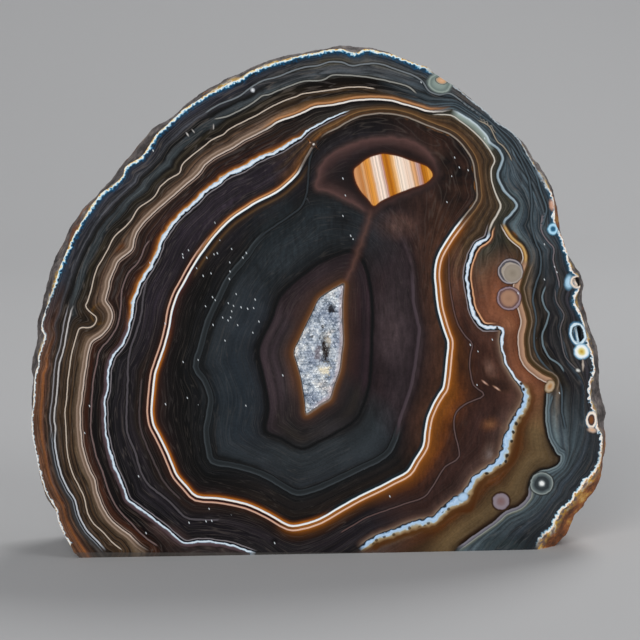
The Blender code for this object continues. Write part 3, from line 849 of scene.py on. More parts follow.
# Colours of the bands, from the rind inwards: growth, then sRGB colour. Growth is 0 at the polished
# edge, 1 at the thin white line, 2 at the tan one, 3 at the lace, 4 at the double white line.
rimColours = {
    "lowerLeft": [
        (0, "#7a5840"), (0.07, "#694733"), (0.2, "#5f3f2c"), (0.27, "#7a4a26"), (0.33, "#57392a"),
        (0.39, "#30221b"), (0.44, "#4f3a2c"), (0.5, "#241c18"), (0.57, "#453f3b"), (0.63, "#2c2622"),
        (0.74, "#241b14"), (0.8, "#4a3828"), (0.86, "#2c2016"), (0.94, "#4a3827"), (1, "#241a12"),
        (1.1, "#4a3826"), (1.2, "#1f150e"), (1.32, "#493521"), (1.42, "#221810"), (1.55, "#5a4834"),
        (1.68, "#7d6a56"), (1.78, "#8f7c68"), (1.86, "#5d4a3a"), (1.92, "#2c1d14"), (2, "#1c0d08")],
    "upperLeft": [
        (0, "#173c52"), (0.08, "#1d2a36"), (0.18, "#2a2b33"), (0.32, "#26272c"), (0.36, "#46484e"),
        (0.4, "#28292e"), (0.46, "#191919"), (0.52, "#0b0b0b"), (0.57, "#33383b"), (0.66, "#3a4144"),
        (0.72, "#24282a"), (0.77, "#14120e"), (0.84, "#2c261b"), (0.91, "#1c160e"), (1, "#1d150e"),
        (1.12, "#32271c"), (1.22, "#241a12"), (1.36, "#3f2f22"), (1.46, "#5a4434"), (1.52, "#2d2018"),
        (1.6, "#6a5344"), (1.74, "#a08876"), (1.84, "#7d6656"), (1.9, "#3a2c24"), (2, "#1c1310")],
    "top": [
        (0, "#1d3a4e"), (0.1, "#24303a"), (0.2, "#33363a"), (0.3, "#4a4a48"), (0.36, "#5a5a54"),
        (0.42, "#3a3c3e"), (0.55, "#42464a"), (0.64, "#4a4f52"), (0.69, "#33332f"), (0.73, "#120e0a"),
        (0.82, "#0b0806"), (0.93, "#171009"), (1, "#2a1e12"), (1.12, "#3f2f1c"), (1.24, "#241a10"),
        (1.38, "#1c130b"), (1.5, "#4a3823"), (1.62, "#6a4a2c"), (1.74, "#a0703f"), (1.86, "#b8804e"),
        (1.94, "#7a5236"), (2, "#3a2c24")],
    "upperRight": [
        (0, "#39434b"), (0.1, "#232a30"), (0.22, "#414d55"), (0.3, "#2a3238"), (0.4, "#46535c"),
        (0.48, "#20262b"), (0.58, "#3f4b53"), (0.68, "#1c2126"), (0.78, "#4c5a62"), (0.9, "#2a3136"),
        (1, "#51616a"), (1.12, "#2c353b"), (1.3, "#4c5a62"), (1.45, "#222a2f"), (1.6, "#3a454c"),
        (1.78, "#5a6a70"), (1.9, "#33393c"), (2, "#2a2c2a")],
    "right": [
        (0, "#34414a"), (0.1, "#26292d"), (0.24, "#2c2d31"), (0.34, "#1c1d20"), (0.44, "#35333a"),
        (0.52, "#232327"), (0.6, "#17181a"), (0.68, "#2e2d30"), (0.76, "#1f2022"), (0.86, "#3c3734"),
        (0.94, "#242322"), (1, "#38434c"), (1.1, "#1c1d20"), (1.2, "#2c2b2c"), (1.32, "#15151a"),
        (1.44, "#2c2824"), (1.54, "#100d0a"), (1.64, "#33281d"), (1.72, "#6a5643"), (1.78, "#3d2c1e"),
        (1.88, "#4a3420"), (2, "#6a5038")],
    "lowerRight": [
        (0, "#1f2329"), (0.14, "#2b2f35"), (0.26, "#202428"), (0.4, "#2f3438"), (0.55, "#262b2f"),
        (0.7, "#39424a"), (0.82, "#2a2f33"), (0.94, "#414c52"), (1.05, "#2e3539"), (1.2, "#465258"),
        (1.35, "#30383c"), (1.5, "#556268"), (1.62, "#39434a"), (1.76, "#5f6e72"), (1.88, "#404a4e"),
        (2, "#14100c")],
    "bottom": [(0, "#26272a"), (1, "#2c2b29"), (2, "#3a2e26")],
}
middleColours = {
    "lowerLeft": [
        (2, "#1c0d08"), (2.06, "#2a130a"), (2.14, "#3d1f10"), (2.26, "#33180c"), (2.34, "#200f09"),
        (2.42, "#1a0c09"), (2.5, "#0c0606"), (2.64, "#070505"), (2.72, "#190e0b"), (2.8, "#0e0808"),
        (2.88, "#392a29"), (2.96, "#2a1e1e"), (3.08, "#08070a"), (3.16, "#0b0a0e"), (3.24, "#1c191d"),
        (3.3, "#100e12"), (3.38, "#242025"), (3.46, "#141116"), (3.56, "#1e191d"), (3.64, "#17110f"),
        (3.7, "#241814"), (3.78, "#140d0c"), (3.86, "#2a1812"), (3.93, "#1c0e0a"), (4, "#2a120a")],
    "upperLeft": [
        (2, "#1c1310"), (2.08, "#140d0b"), (2.18, "#2c1b13"), (2.28, "#1a100d"), (2.38, "#2e1c14"),
        (2.48, "#201313"), (2.58, "#2f1a12"), (2.66, "#231210"), (2.76, "#3f2010"), (2.86, "#6a3c16"),
        (2.94, "#8a5220"), (3.02, "#2a1a14"), (3.08, "#0d0a0c"), (3.2, "#1c171d"), (3.36, "#241e26"),
        (3.5, "#1d181e"), (3.62, "#272028"), (3.78, "#1a1519"), (3.88, "#2a1a14"), (3.95, "#5a3318"),
        (4, "#6a3a1a")],
    "top": [
        (2, "#1c1712"), (2.12, "#0c0a09"), (2.3, "#15110f"), (2.5, "#1f1b18"), (2.7, "#2c2824"),
        (2.86, "#23201c"), (3, "#4c4438"), (3.1, "#3a2e20"), (3.26, "#4a3826"), (3.36, "#2c1e12"),
        (3.5, "#5a4228"), (3.58, "#33210f"), (3.7, "#5a3a1c"), (3.82, "#6a4522"), (3.9, "#4a3019"),
        (4, "#2c1c12")],
    "upperRight": [
        (2, "#26241f"), (2.2, "#383628"), (2.45, "#2a2a24"), (2.7, "#3c3a30"), (3, "#2b251c"),
        (3.12, "#4a3a28"), (3.22, "#2e2216"), (3.36, "#55412c"), (3.48, "#2a1e14"), (3.6, "#4f3c29"),
        (3.72, "#241a12"), (3.86, "#45352a"), (4, "#201712")],
    "right": [
        (2, "#4a2c18"), (2.16, "#5c3420"), (2.32, "#6e402a"), (2.5, "#7a4a31"), (2.66, "#83523a"),
        (2.84, "#6a3f2c"), (2.97, "#6a4c3a"), (3.1, "#3f281f"), (3.22, "#482c22"), (3.36, "#331d16"),
        (3.52, "#381f16"), (3.66, "#402413"), (3.78, "#361c0d"), (3.88, "#7a430f"), (3.96, "#a8641c"),
        (4, "#b87428")],
    "lowerRight": [
        (2, "#2c2014"), (2.08, "#463724"), (2.2, "#58462e"), (2.34, "#5f4c32"), (2.46, "#58442b"),
        (2.58, "#4a341d"), (2.68, "#4f2c10"), (2.78, "#5c3414"), (2.88, "#8a6c4a"), (2.96, "#a8947a"),
        (3.04, "#5f4a3c"), (3.14, "#43302a"), (3.28, "#301d18"), (3.42, "#36211c"), (3.54, "#2e1a14"),
        (3.66, "#3c2013"), (3.76, "#5a2f10"), (3.88, "#7a440f"), (3.95, "#9a5a14"), (4, "#8a4e14")],
    "bottom": [
        (2, "#3a2e26"), (2.3, "#2c221e"), (2.6, "#3a2a24"), (2.9, "#4a3d38"), (3, "#1c1817"),
        (3.12, "#121013"), (3.26, "#221e22"), (3.36, "#151216"), (3.5, "#241f23"), (3.62, "#171215"),
        (3.78, "#201713"), (3.9, "#38200f"), (4, "#4a2812")],
}
innerColours = {
    "innerLeft": [
        (4, "#4a2410"), (4.04, "#33190f"), (4.12, "#26140f"), (4.22, "#170d0c"), (4.34, "#0c0808"),
        (4.5, "#080606"), (4.62, "#050505"), (4.74, "#0d0e10"), (4.82, "#08090a"), (4.9, "#16181a"),
        (4.96, "#0c0d0e"), (5, "#26292b"), (5.07, "#131516"), (5.13, "#0d0f10"), (5.19, "#23282c"),
        (5.34, "#2a3035"), (5.55, "#23292f"), (5.74, "#262c32"), (5.88, "#1c1f24"), (5.95, "#0c0d10"),
        (6, "#131215"), (6.06, "#30262b"), (6.2, "#392e32"), (6.3, "#292124"), (6.42, "#362c30"),
        (6.56, "#2b2325"), (6.68, "#3c2e2c"), (6.85, "#4c3122"), (7, "#6c4524")],
    "innerTop": [
        (4, "#2a1c14"), (4.06, "#100c0c"), (4.2, "#1b181b"), (4.45, "#17151a"), (4.7, "#120f11"),
        (5, "#15181a"), (5.2, "#1e2428"), (5.6, "#20262a"), (5.94, "#121416"), (6.1, "#20181b"),
        (6.4, "#2c2124"), (6.8, "#382722"), (7, "#5f3e22")],
    "innerRight": [
        (4, "#a0621c"), (4.02, "#1c1a18"), (4.06, "#3a2218"), (4.2, "#40281c"), (4.42, "#3a241b"),
        (4.62, "#33211b"), (4.82, "#241818"), (4.95, "#362b2e"), (5.02, "#241b1e"), (5.25, "#2c2326"),
        (5.5, "#281f22"), (5.8, "#241a1c"), (6, "#1c1418"), (6.15, "#2c1f24"), (6.3, "#1f161a"),
        (6.5, "#291a1b"), (6.8, "#33201a"), (6.93, "#5a3216"), (7, "#7a491e")],
    "innerBottom": [
        (4, "#7a4210"), (4.05, "#3a1e0c"), (4.12, "#21140e"), (4.2, "#120d0c"), (4.34, "#1c1511"),
        (4.5, "#0f0c0c"), (4.64, "#1a1615"), (4.78, "#0d0d0e"), (4.9, "#191a1c"), (4.96, "#0a0a0b"),
        (5, "#2c2f31"), (5.08, "#121314"), (5.18, "#22262a"), (5.4, "#2a2f33"), (5.62, "#23282b"),
        (5.8, "#272b2e"), (5.92, "#141516"), (6, "#2a2b2d"), (6.1, "#1a1819"), (6.3, "#27221f"),
        (6.5, "#1c191a"), (6.8, "#2c2221"), (7, "#4a3020")],
}

# Soft patches under the bands: pixel of the middle, radii, turn in degrees, then from the middle
# outwards the share of the radius, the colour and how much it covers
softPatches = [
    ((392, 330), (25, 56), 0, [(0, "#4f4143", 0.7), (0.45, "#43373a", 0.55), (1, "#2e2527", 0)]),
    ((398, 226), (30, 20), 0, [(0, "#6e5248", 0.6), (0.5, "#5a4038", 0.4), (1, "#3a2e30", 0)]),
    ((456, 178), (25, 46), 0, [(0, "#040304", 0.97), (0.6, "#070607", 0.85), (1, "#141012", 0)]),
    ((468, 96), (36, 9), 34, [(0, "#66594a", 0.8), (0.6, "#584a40", 0.65), (1, "#39332f", 0)]),
    ((345, 222), (20, 22), 0, [(0, "#080607", 0.8), (0.5, "#0a0809", 0.6), (1, "#141012", 0)]),
    ((272, 220), (30, 46), 35, [(0, "#20282c", 0.8), (0.5, "#1a2226", 0.6), (1, "#12181a", 0)]),
    ((230, 400), (34, 70), -6, [(0, "#1d262d", 0.8), (0.5, "#1a2228", 0.6), (1, "#141a1e", 0)]),
    ((330, 455), (74, 22), -14, [(0, "#2c3236", 0.8), (0.6, "#282e32", 0.6), (1, "#1c2023", 0)]),
    ((330, 428), (34, 12), -22, [(0, "#2c292b", 0.8), (0.6, "#282527", 0.6), (1, "#1c1a1c", 0)]),
    ((494, 296), (16, 34), 10, [(0, "#93593d", 0.85), (0.4, "#7d4c36", 0.6), (1, "#54301f", 0)]),
    ((508, 326), (12, 14), 0, [(0, "#a0684a", 0.9), (0.5, "#8a583c", 0.7), (1, "#5a3420", 0)]),
    ((514, 356), (9, 34), -12, [(0, "#7a4a33", 0.8), (0.5, "#6a3f2a", 0.6), (1, "#4a2a1a", 0)]),
    ((456, 285), (14, 60), 0, [(0, "#6a4234", 0.6), (0.5, "#5f3a2c", 0.5), (1, "#3a2218", 0)]),
    ((511, 172), (11, 21), -12, [(0, "#54626b", 1), (0.6, "#46535b", 0.95), (0.85, "#2a3238", 0.8),
        (1, "#1c2226", 0)]),
    ((83, 319), (13, 8), -8, [(0, "#150e08", 0.95), (0.6, "#24190e", 0.85), (1, "#33251a", 0)]),
    ((100, 314), (11, 13), 0, [(0, "#2a1c10", 0.3), (0.55, "#33220f", 0.7), (0.8, "#5f421c", 0.8),
        (1, "#33251a", 0)]),
    ((121, 249), (10, 5), -48, [(0, "#6a3a0e", 0.95), (0.5, "#5a320e", 0.7), (1, "#3a2416", 0)]),
    ((514, 236), (8.5, 4), 50, [(0, "#8a5a10", 1), (0.5, "#7a4a10", 0.9), (1, "#5a3a18", 0)]),
    ((335, 61), (24, 5), -4, [(0, "#6a5a3c", 0.8), (0.5, "#54482f", 0.5), (1, "#3a3a38", 0)]),
    ((490, 368), (9, 16), -20, [(0, "#7a5c50", 0.7), (0.5, "#6a4c40", 0.5), (1, "#4a2c20", 0)]),
    ((489, 454), (11, 18), 12, [(0, "#8a7c78", 0.75), (0.4, "#6a564c", 0.5), (1, "#4a2c20", 0)]),
    ((500, 385), (14, 7), 30, [(0, "#170d08", 0.9), (0.5, "#1c100a", 0.7), (1, "#33200f", 0)]),
    ((490, 424), (14, 10), -20, [(0, "#8a5c3a", 0.7), (0.4, "#6a4228", 0.5), (1, "#4a2c20", 0)]),
    ((170, 534), (34, 12), 28, [(0, "#5f4a48", 0.8), (0.5, "#4f3c3a", 0.6), (1, "#33241f", 0)]),
    # the dark strip along the base lies on the bevel and is painted shade
    ((250, 549), (90, 7), 0, [(0, "#1c1a1c", 0.9), (0.7, "#1c1a1c", 0.8), (1, "#1c1a1c", 0)]),
    ((505, 545), (44, 14), 0, [(0, "#2e3a3a", 0.8), (0.5, "#2a3336", 0.6), (1, "#20262a", 0)]),
]

# Sharp strokes beside each line. Across: distance outwards in pixels, colour, cover.
# between: the points of the line where the stroke starts and ends, and over how many pixels it comes in.
# anchor: -1 or 1 measures from the inner or outer edge of a lace line, and scaled in its half widths.
lineLooks = {
    "halo": [
        {"wobble": 2.5, "across": [
            (-24, "#1c1312", 0.3), (-14, "#2e1e1c", 0.5), (-7, "#4a3330", 0.7), (-3, "#5c413d", 0.8),
            (0, "#40302d", 0.5), (4, "#241816", 0)]},
    ],
    "paleGrey": [
        {"wobble": 0.7, "between": ((73.6, 305), (56, 436)), "fade": 10, "across": [
            (-1.9, "#1d1510", 0), (-1.1, "#1d1510", 0.85), (-0.6, "#a8a4a2", 1), (0.3, "#c9c5c2", 1),
            (0.9, "#2a2522", 0.95), (3.3, "#2f2620", 0.7), (3.8, "#8f8d90", 0.85), (4.5, "#8f8d90", 0.85),
            (5, "#2a221c", 0.6), (7, "#2a221c", 0)]},
        {"wobble": 0.7, "between": ((56, 436), (105, 551)), "fade": 10, "across": [
            (-2.2, "#17110d", 0), (-1.3, "#17110d", 0.9), (-0.7, "#c4c6ca", 1), (0.2, "#b4b8be", 1),
            (0.7, "#15161a", 0.95), (1.7, "#15161a", 0.9), (2.1, "#7d8288", 0.9), (2.8, "#6a6f75", 0.85),
            (3.3, "#1f1f22", 0.8), (5.6, "#3d3c3c", 0.5), (7.4, "#2a221c", 0)]},
    ],
    "tanWhite": [
        {"wobble": 0.7, "between": ((269, 128), (150, 552)), "fade": 26, "across": [
            (-4.4, "#20110b", 0), (-3.3, "#20110b", 0.8), (-2.8, "#8a7468", 0.85),
            (-2.2, "#8a7468", 0.85), (-1.7, "#0c0706", 0.95), (-1.1, "#140c0a", 0.95),
            (-0.7, "#c4b2a6", 1), (0.3, "#b8a698", 1), (0.8, "#6a5648", 0.95), (1.9, "#776353", 0.95),
            (3.3, "#9a8474", 0.95), (4.2, "#5f4c3c", 0.85), (5.2, "#3a281b", 0.6), (8, "#33231a", 0)]},
        {"wobble": 0.7, "between": ((440, 111.6), (269, 128)), "fade": 26, "across": [
            (-4, "#080606", 0), (-2, "#080606", 0.9), (-1, "#080606", 0.95), (-0.6, "#d8d0c8", 1),
            (0.5, "#f0ece6", 1), (1, "#5a4030", 0.95), (1.6, "#6a4a30", 0.95), (2.4, "#ac784a", 0.95),
            (3.4, "#b5825a", 0.9), (4.4, "#6a4626", 0.7), (7, "#33220f", 0)]},
    ],
    "blueWhite": [
        {"wobble": 0.9, "between": ((452, 109.5), (492, 146)), "fade": 8, "across": [
            (-7, "#8d9a90", 0), (-5.4, "#76827a", 0.8), (-2.4, "#93a098", 0.9), (-1, "#a5b4b4", 0.95),
            (-0.4, "#c6d2d6", 1), (0.5, "#a9bac2", 0.95), (1.2, "#39434a", 0.8), (3.4, "#39434a", 0)]},
        {"wobble": 0.9, "between": ((490, 143), (503, 224)), "fade": 8, "across": [
            (-3.4, "#2a2a28", 0), (-1.8, "#1c1e1e", 0.8), (-1, "#8496a0", 0.95), (0.4, "#a4b6c0", 0.95),
            (1.2, "#39434a", 0.9), (2.4, "#12161a", 0.8), (4.4, "#2a3238", 0)]},
    ],
    "amber": [
        {"wobble": 0.7, "between": ((503, 222), (522, 262)), "fade": 6, "across": [
            (-4.6, "#33200f", 0), (-3.4, "#33200f", 0.8), (-2.9, "#cfc4b8", 0.95), (-2.3, "#cfc4b8", 0.9),
            (-1.8, "#5a3a1a", 0.95), (-0.8, "#a87d44", 1), (0.6, "#c9a468", 1), (1.6, "#7a5a30", 0.9),
            (2.6, "#20180f", 0.9), (6, "#20180f", 0)]},
        {"wobble": 0.7, "between": ((522, 262), (548, 386)), "fade": 6, "across": [
            (-5.2, "#4a2c1c", 0), (-4.2, "#2a1810", 0.8), (-3.7, "#cbb8ac", 0.95), (-3, "#c0a898", 0.95),
            (-2.4, "#8a6a54", 0.95), (0, "#a8826a", 1), (1.6, "#b08a6c", 1), (2.4, "#5a4028", 0.95),
            (4.4, "#33260f", 0.9), (6.4, "#4a3a24", 0.85), (7.4, "#857260", 0.8), (8.4, "#33291c", 0.7),
            (12, "#1c1813", 0)]},
    ],
    "brownToGrey": [
        {"wobble": 1, "between": ((548, 387), (529, 490)), "fade": 8, "across": [
            (-4, "#3a2a1a", 0), (-1.9, "#120c07", 0.9), (-0.3, "#0c0906", 1), (0.3, "#7f8b8e", 0.95),
            (1.3, "#6a787c", 0.9), (2.2, "#3e484d", 0.85), (3.2, "#66757a", 0.8), (4.4, "#46535a", 0.6),
            (7, "#343e44", 0)]},
        {"wobble": 1, "between": ((529, 490), (456, 548)), "fade": 8, "across": [
            (-5, "#3a2414", 0), (-2.4, "#241408", 0.9), (-0.4, "#150c06", 1), (0.3, "#858088", 0.95),
            (1.6, "#6f6c76", 0.95), (2.6, "#5c5c64", 0.9), (3.4, "#93968e", 0.9), (4.2, "#6a6c60", 0.8),
            (6, "#3a4444", 0.4), (9, "#343e44", 0)]},
    ],
    "darkBrown": [
        {"wobble": 1, "across": [
            (-5, "#5a3416", 0), (-2, "#4a2608", 0.85), (1, "#4a2608", 0.85), (4.5, "#5c4226", 0)]},
    ],
    "slateRing": [
        {"wobble": 0.7, "between": ((262, 236), (398, 430)), "fade": 14, "across": [
            (-4.8, "#08090a", 0), (-3.9, "#08090a", 0.95), (-3.2, "#2a2f32", 0.9), (-2.6, "#262b2e", 0.9),
            (-1.4, "#1c2022", 0.85), (0.6, "#24292c", 0.9), (1.4, "#3c4245", 0.9), (2, "#33383b", 0.9),
            (2.6, "#08090a", 0.9), (3.8, "#08090a", 0.7), (6, "#101213", 0)]},
        {"wobble": 0.7, "between": ((398, 430), (412, 276)), "fade": 16, "across": [
            (-3, "#241c20", 0), (-1.6, "#463a40", 0.8), (0.6, "#4a3e43", 0.8), (1.6, "#241a1a", 0.5),
            (4, "#2a1c1a", 0)]},
    ],
    "laceLeft": [
        {"anchor": -1, "wobble": 0.5, "lace": 0.7, "across": [
            (-3.4, "#1a1418", 0), (-2.9, "#1a1418", 0.6), (-2.4, "#7f797c", 0.9), (-1.8, "#7f797c", 0.9),
            (-1.3, "#08070a", 1), (0, "#08070a", 1), (0.3, "#08070a", 0)]},
        {"anchor": 1, "wobble": 0.9, "lace": 1.6,
            "between": ((300, 138), (131, 322)), "fade": 20, "across": [
            (-0.6, "#e0c8a8", 0), (-0.2, "#e6c8a0", 0.9), (0.5, "#b87838", 0.9), (1.8, "#7a4518", 0.85),
            (4.5, "#3a1e10", 0)]},
        {"anchor": 1, "wobble": 0.9, "lace": 0.8,
            "between": ((131, 322), (256, 554)), "fade": 20, "across": [
            (-0.3, "#8a7a7c", 0), (0, "#75666a", 0.9), (0.8, "#544449", 0.9), (2.6, "#4a3a3d", 0.8),
            (3.4, "#1c1010", 0.5), (5, "#1c1010", 0)]},
        {"scaled": True, "wobble": 0.5, "lace": 1.5, "ragged": 0.5, "across": [
            (-1.25, "#0c0a0c", 0), (-0.95, "#9db6cc", 1), (-0.4, "#e6eef4", 1), (0.2, "#cfdfea", 1),
            (0.7, "#a9c0d4", 1), (1.1, "#3a281e", 0)]},
    ],
    "laceRight": [
        {"anchor": 1, "wobble": 0.7, "lace": 0.6,
            "between": ((489, 228), (492, 327)), "fade": 8, "across": [
            (-0.3, "#1c1210", 0), (0, "#1c1210", 0.95), (1.7, "#2a1a14", 0.95), (2.1, "#e0ac84", 0.95),
            (3.1, "#c98f68", 0.95), (3.7, "#5a3420", 0.6), (6, "#5a3420", 0)]},
        {"anchor": -1, "wobble": 0.7, "lace": 0.6,
            "between": ((489, 228), (497, 327)), "fade": 8, "across": [
            (-3, "#5a4038", 0), (-2.4, "#8a8488", 0.85), (-1.8, "#8a8488", 0.85), (-1.3, "#100c0e", 0.95),
            (0.1, "#100c0e", 0.95), (0.4, "#100c0e", 0)]},
        {"anchor": -1, "wobble": 0.7, "lace": 0.8,
            "between": ((500, 328), (359, 549)), "fade": 8, "across": [
            (-7, "#5a4034", 0), (-3.6, "#6a5044", 0.5), (-1.6, "#84705f", 0.8), (-0.4, "#4a4440", 0.8),
            (0.6, "#4a4440", 0)]},
        {"anchor": 1, "wobble": 1.1, "lace": 2.4,
            "between": ((522, 388), (359, 549)), "fade": 10, "across": [
            (-1.2, "#b8b4a4", 0), (-0.6, "#aca48c", 0.9), (0.8, "#a08a68", 0.95), (2, "#866a48", 0.9),
            (3.6, "#543414", 0.75), (6.4, "#4a2a0c", 0.65), (9, "#4a3018", 0)]},
        {"scaled": True, "wobble": 0.3, "lace": 0.5,
            "between": ((431.8, 114.6), (489, 230)), "fade": 8, "across": [
            (-1.4, "#15110e", 0), (-1, "#8a8478", 0.9), (0, "#d4cec2", 1), (0.9, "#a59c90", 0.95),
            (1.4, "#2a221a", 0)]},
        {"scaled": True, "wobble": 0.5, "lace": 1.5, "ragged": 0.4,
            "between": ((487, 234), (522, 388)), "fade": 6, "across": [
            (-1.8, "#0f1216", 0), (-1.5, "#0f1216", 0.95), (-1.15, "#0f1216", 1), (-0.9, "#a9c0d4", 1),
            (-0.2, "#eaf0f6", 1), (0.6, "#b4cade", 1), (1.1, "#3a281c", 0)]},
        {"scaled": True, "wobble": 0.6, "lace": 1.9, "ragged": 0.4,
            "between": ((521, 386), (359, 549)), "fade": 6, "across": [
            (-1.6, "#18202a", 0), (-1.4, "#18202a", 0.95), (-1.15, "#18202a", 1), (-0.9, "#86a6c6", 1),
            (-0.5, "#b8d2ec", 1), (0.1, "#a4c2e0", 1), (0.6, "#b8c8cc", 1), (1.1, "#a89878", 0)]},
        {"wobble": 0.2, "between": ((523, 391), (359, 549)), "fade": 6, "beads": True, "across": [
            (0.2, "#3a2a1c", 0), (1.2, "#3a2a1c", 1), (3.4, "#4a3a20", 1), (5, "#3a2a1c", 0)]},
    ],
    "doubleWhite": [
        {"wobble": 0.25, "between": ((300, 170), (190, 268)), "fade": 16, "across": [
            (-13, "#17100c", 0), (-8, "#2a1d14", 0.6), (-6.2, "#5a4224", 0.7), (-5.2, "#4a3018", 0.7),
            (-3.6, "#1c130e", 0.8), (-1.6, "#101416", 0.9), (0.7, "#33201a", 0.95),
            (1.3, "#33201a", 0.95), (1.8, "#c08a5c", 0.95), (2.8, "#c08450", 0.95), (3.6, "#74401a", 0.9),
            (5.4, "#341c10", 0.5), (8, "#241612", 0)]},
        {"wobble": 0.25, "between": ((204, 250), (320, 519)), "fade": 30, "across": [
            (0.6, "#2a0f0a", 0), (0.9, "#2a0f0a", 1), (3, "#2a0f0a", 1), (3.5, "#c4927c", 1),
            (4.5, "#dcb49c", 1), (5.2, "#33180f", 0.9), (7, "#1c0c08", 0.6), (10, "#1c0c08", 0)]},
        {"wobble": 0.25, "between": ((288, 525), (461, 221)), "fade": 24, "across": [
            (0.6, "#7a4214", 0), (0.9, "#7a4214", 1), (2.2, "#a8641f", 1), (3.1, "#6a3c14", 1),
            (3.6, "#dcae90", 1), (4.6, "#e8c6ae", 1), (5.3, "#9a5a18", 0.9), (7.4, "#74400f", 0.7),
            (11, "#54300f", 0.4), (17, "#4a2812", 0)]},
        {"wobble": 0.25, "between": ((168, 330), (320, 519)), "fade": 30, "across": [
            (-7, "#1a0a04", 0), (-4, "#5a2c0a", 0.7), (-2.2, "#b06414", 0.9), (-1, "#a86018", 0.9),
            (0, "#a86018", 0)]},
        {"wobble": 0.25, "between": ((190, 268), (163, 352)), "fade": 26, "across": [
            (-6, "#1a0c0a", 0), (-2.6, "#3a1c18", 0.8), (-1, "#4a2018", 0.9), (0, "#4a2018", 0)]},
        {"wobble": 0.25, "between": ((330, 513), (461, 221)), "fade": 24, "across": [
            (-4.6, "#14232a", 0), (-2.8, "#0f2026", 0.9), (-1.2, "#0c181c", 0.95), (0, "#0c181c", 0)]},
        {"wobble": 0.3, "between": ((300, 170), (463, 218)), "fade": 14, "across": [
            (-1.35, "#a9c3d4", 0), (-0.95, "#c6dae6", 0.95), (-0.4, "#f4f6f6", 1), (0.4, "#f6f1e8", 1),
            (0.75, "#e4d2c0", 1), (1.15, "#5a2a12", 0)]},
        {"wobble": 0.5, "between": ((461, 221), (325, 134)), "fade": 8, "across": [
            (-2, "#0a0809", 0), (-1, "#0a0809", 0.9), (-0.4, "#93877a", 0.95), (0.4, "#8a7d70", 0.95),
            (1.1, "#33241a", 0.7), (3.6, "#3f2d1c", 0.4), (4.4, "#8f6c44", 0.8), (5.2, "#6a4a2c", 0.6),
            (7.6, "#4a3018", 0.4), (10, "#4a3018", 0)]},
        {"wobble": 0.4, "between": ((313.2, 146.4), (300, 168)), "fade": 8, "across": [
            (-3.4, "#0c0c0e", 0), (-1.8, "#0c0c0e", 0.9), (-0.8, "#6a6058", 0.9), (0.5, "#8a8078", 0.95),
            (1.3, "#3a2a1c", 0.6), (4, "#3a2a1c", 0)]},
    ],
    "hollow": [
        {"wobble": 0.5, "across": [
            (-4, "#94979c", 1), (-1.5, "#94979c", 1), (-0.8, "#8a7868", 1), (0, "#7a5a44", 1),
            (1.2, "#5f3c20", 0.9), (4, "#4a2e1c", 0.7), (6, "#33221c", 0.4), (9, "#2c1c18", 0)]},
    ],
    "vein": [
        {"wobble": 2.4, "across": [
            (-8, "#2a1a18", 0), (-3.6, "#3a2622", 0.45), (0, "#63443a", 0.6), (3.6, "#402a26", 0.45),
            (8, "#2a1a18", 0)]},
    ],
    "faceEdge": [
        {"wobble": 1.8, "ragged": 4, "between": ((58, 276), (432, 72)), "fade": 24, "across": [
            (-6.5, "#16293a", 0), (-4.4, "#12364e", 0.5), (-3.2, "#0f4264", 0.8), (-2.4, "#14547a", 0.85),
            (-2, "#14547a", 0.8), (-1, "#14547a", 0)]},
        {"wobble": 0.9, "ragged": 2.8, "between": ((50, 296), (432, 72)), "fade": 20, "across": [
            (-2.8, "#4f93ba", 0), (-2.1, "#7fb8d4", 0.85), (-1.5, "#d0e4ec", 1), (-0.8, "#eeeee4", 1),
            (-0.2, "#ecd8a8", 1), (0.5, "#c99a52", 1), (1.4, "#8a6a3a", 1)]},
        {"wobble": 0.9, "ragged": 2.2, "between": ((69.7, 544.5), (50, 296)), "fade": 12, "across": [
            (-2, "#8fa4b0", 0), (-1.4, "#a9bcc6", 0.8), (-0.8, "#ecece8", 1), (-0.2, "#eae6de", 1),
            (0.4, "#b9a080", 1), (1.4, "#6a5a44", 1)]},
        {"wobble": 0.7, "ragged": 1, "between": ((436, 74), (546, 184)), "fade": 10, "across": [
            (-1.6, "#2c3338", 0), (-0.9, "#8f9ba3", 0.7), (-0.2, "#c3ccd2", 0.9), (0.5, "#8a8680", 0.9),
            (1.4, "#4a4644", 1)]},
        {"wobble": 1.6, "ragged": 1.8, "between": ((550, 192), (583, 320)), "fade": 12, "across": [
            (-7, "#1c2c38", 0), (-4, "#18394c", 0.6), (-2.4, "#245a78", 0.7), (-1.6, "#7fa8c0", 0.8),
            (-0.6, "#8fb8d0", 0)]},
        {"wobble": 1.4, "ragged": 3.4, "between": ((546, 184), (601, 458)), "fade": 8, "across": [
            (-2.6, "#6f9cb8", 0), (-1.9, "#a4c4d8", 0.8), (-1.2, "#f0eee8", 1), (-0.2, "#efe0d0", 1),
            (0.6, "#c49a80", 1), (1.6, "#7a665c", 1)]},
        {"wobble": 1.6, "ragged": 2.6, "between": ((601, 458), (541, 540)), "fade": 6, "across": [
            (-3.4, "#5f9cc0", 0), (-2.6, "#a4cce0", 0.85), (-1.8, "#eef2f0", 1), (-0.4, "#f0dcc0", 1),
            (0.4, "#c98f5a", 1), (1.6, "#7a4522", 1)]},
    ],
}

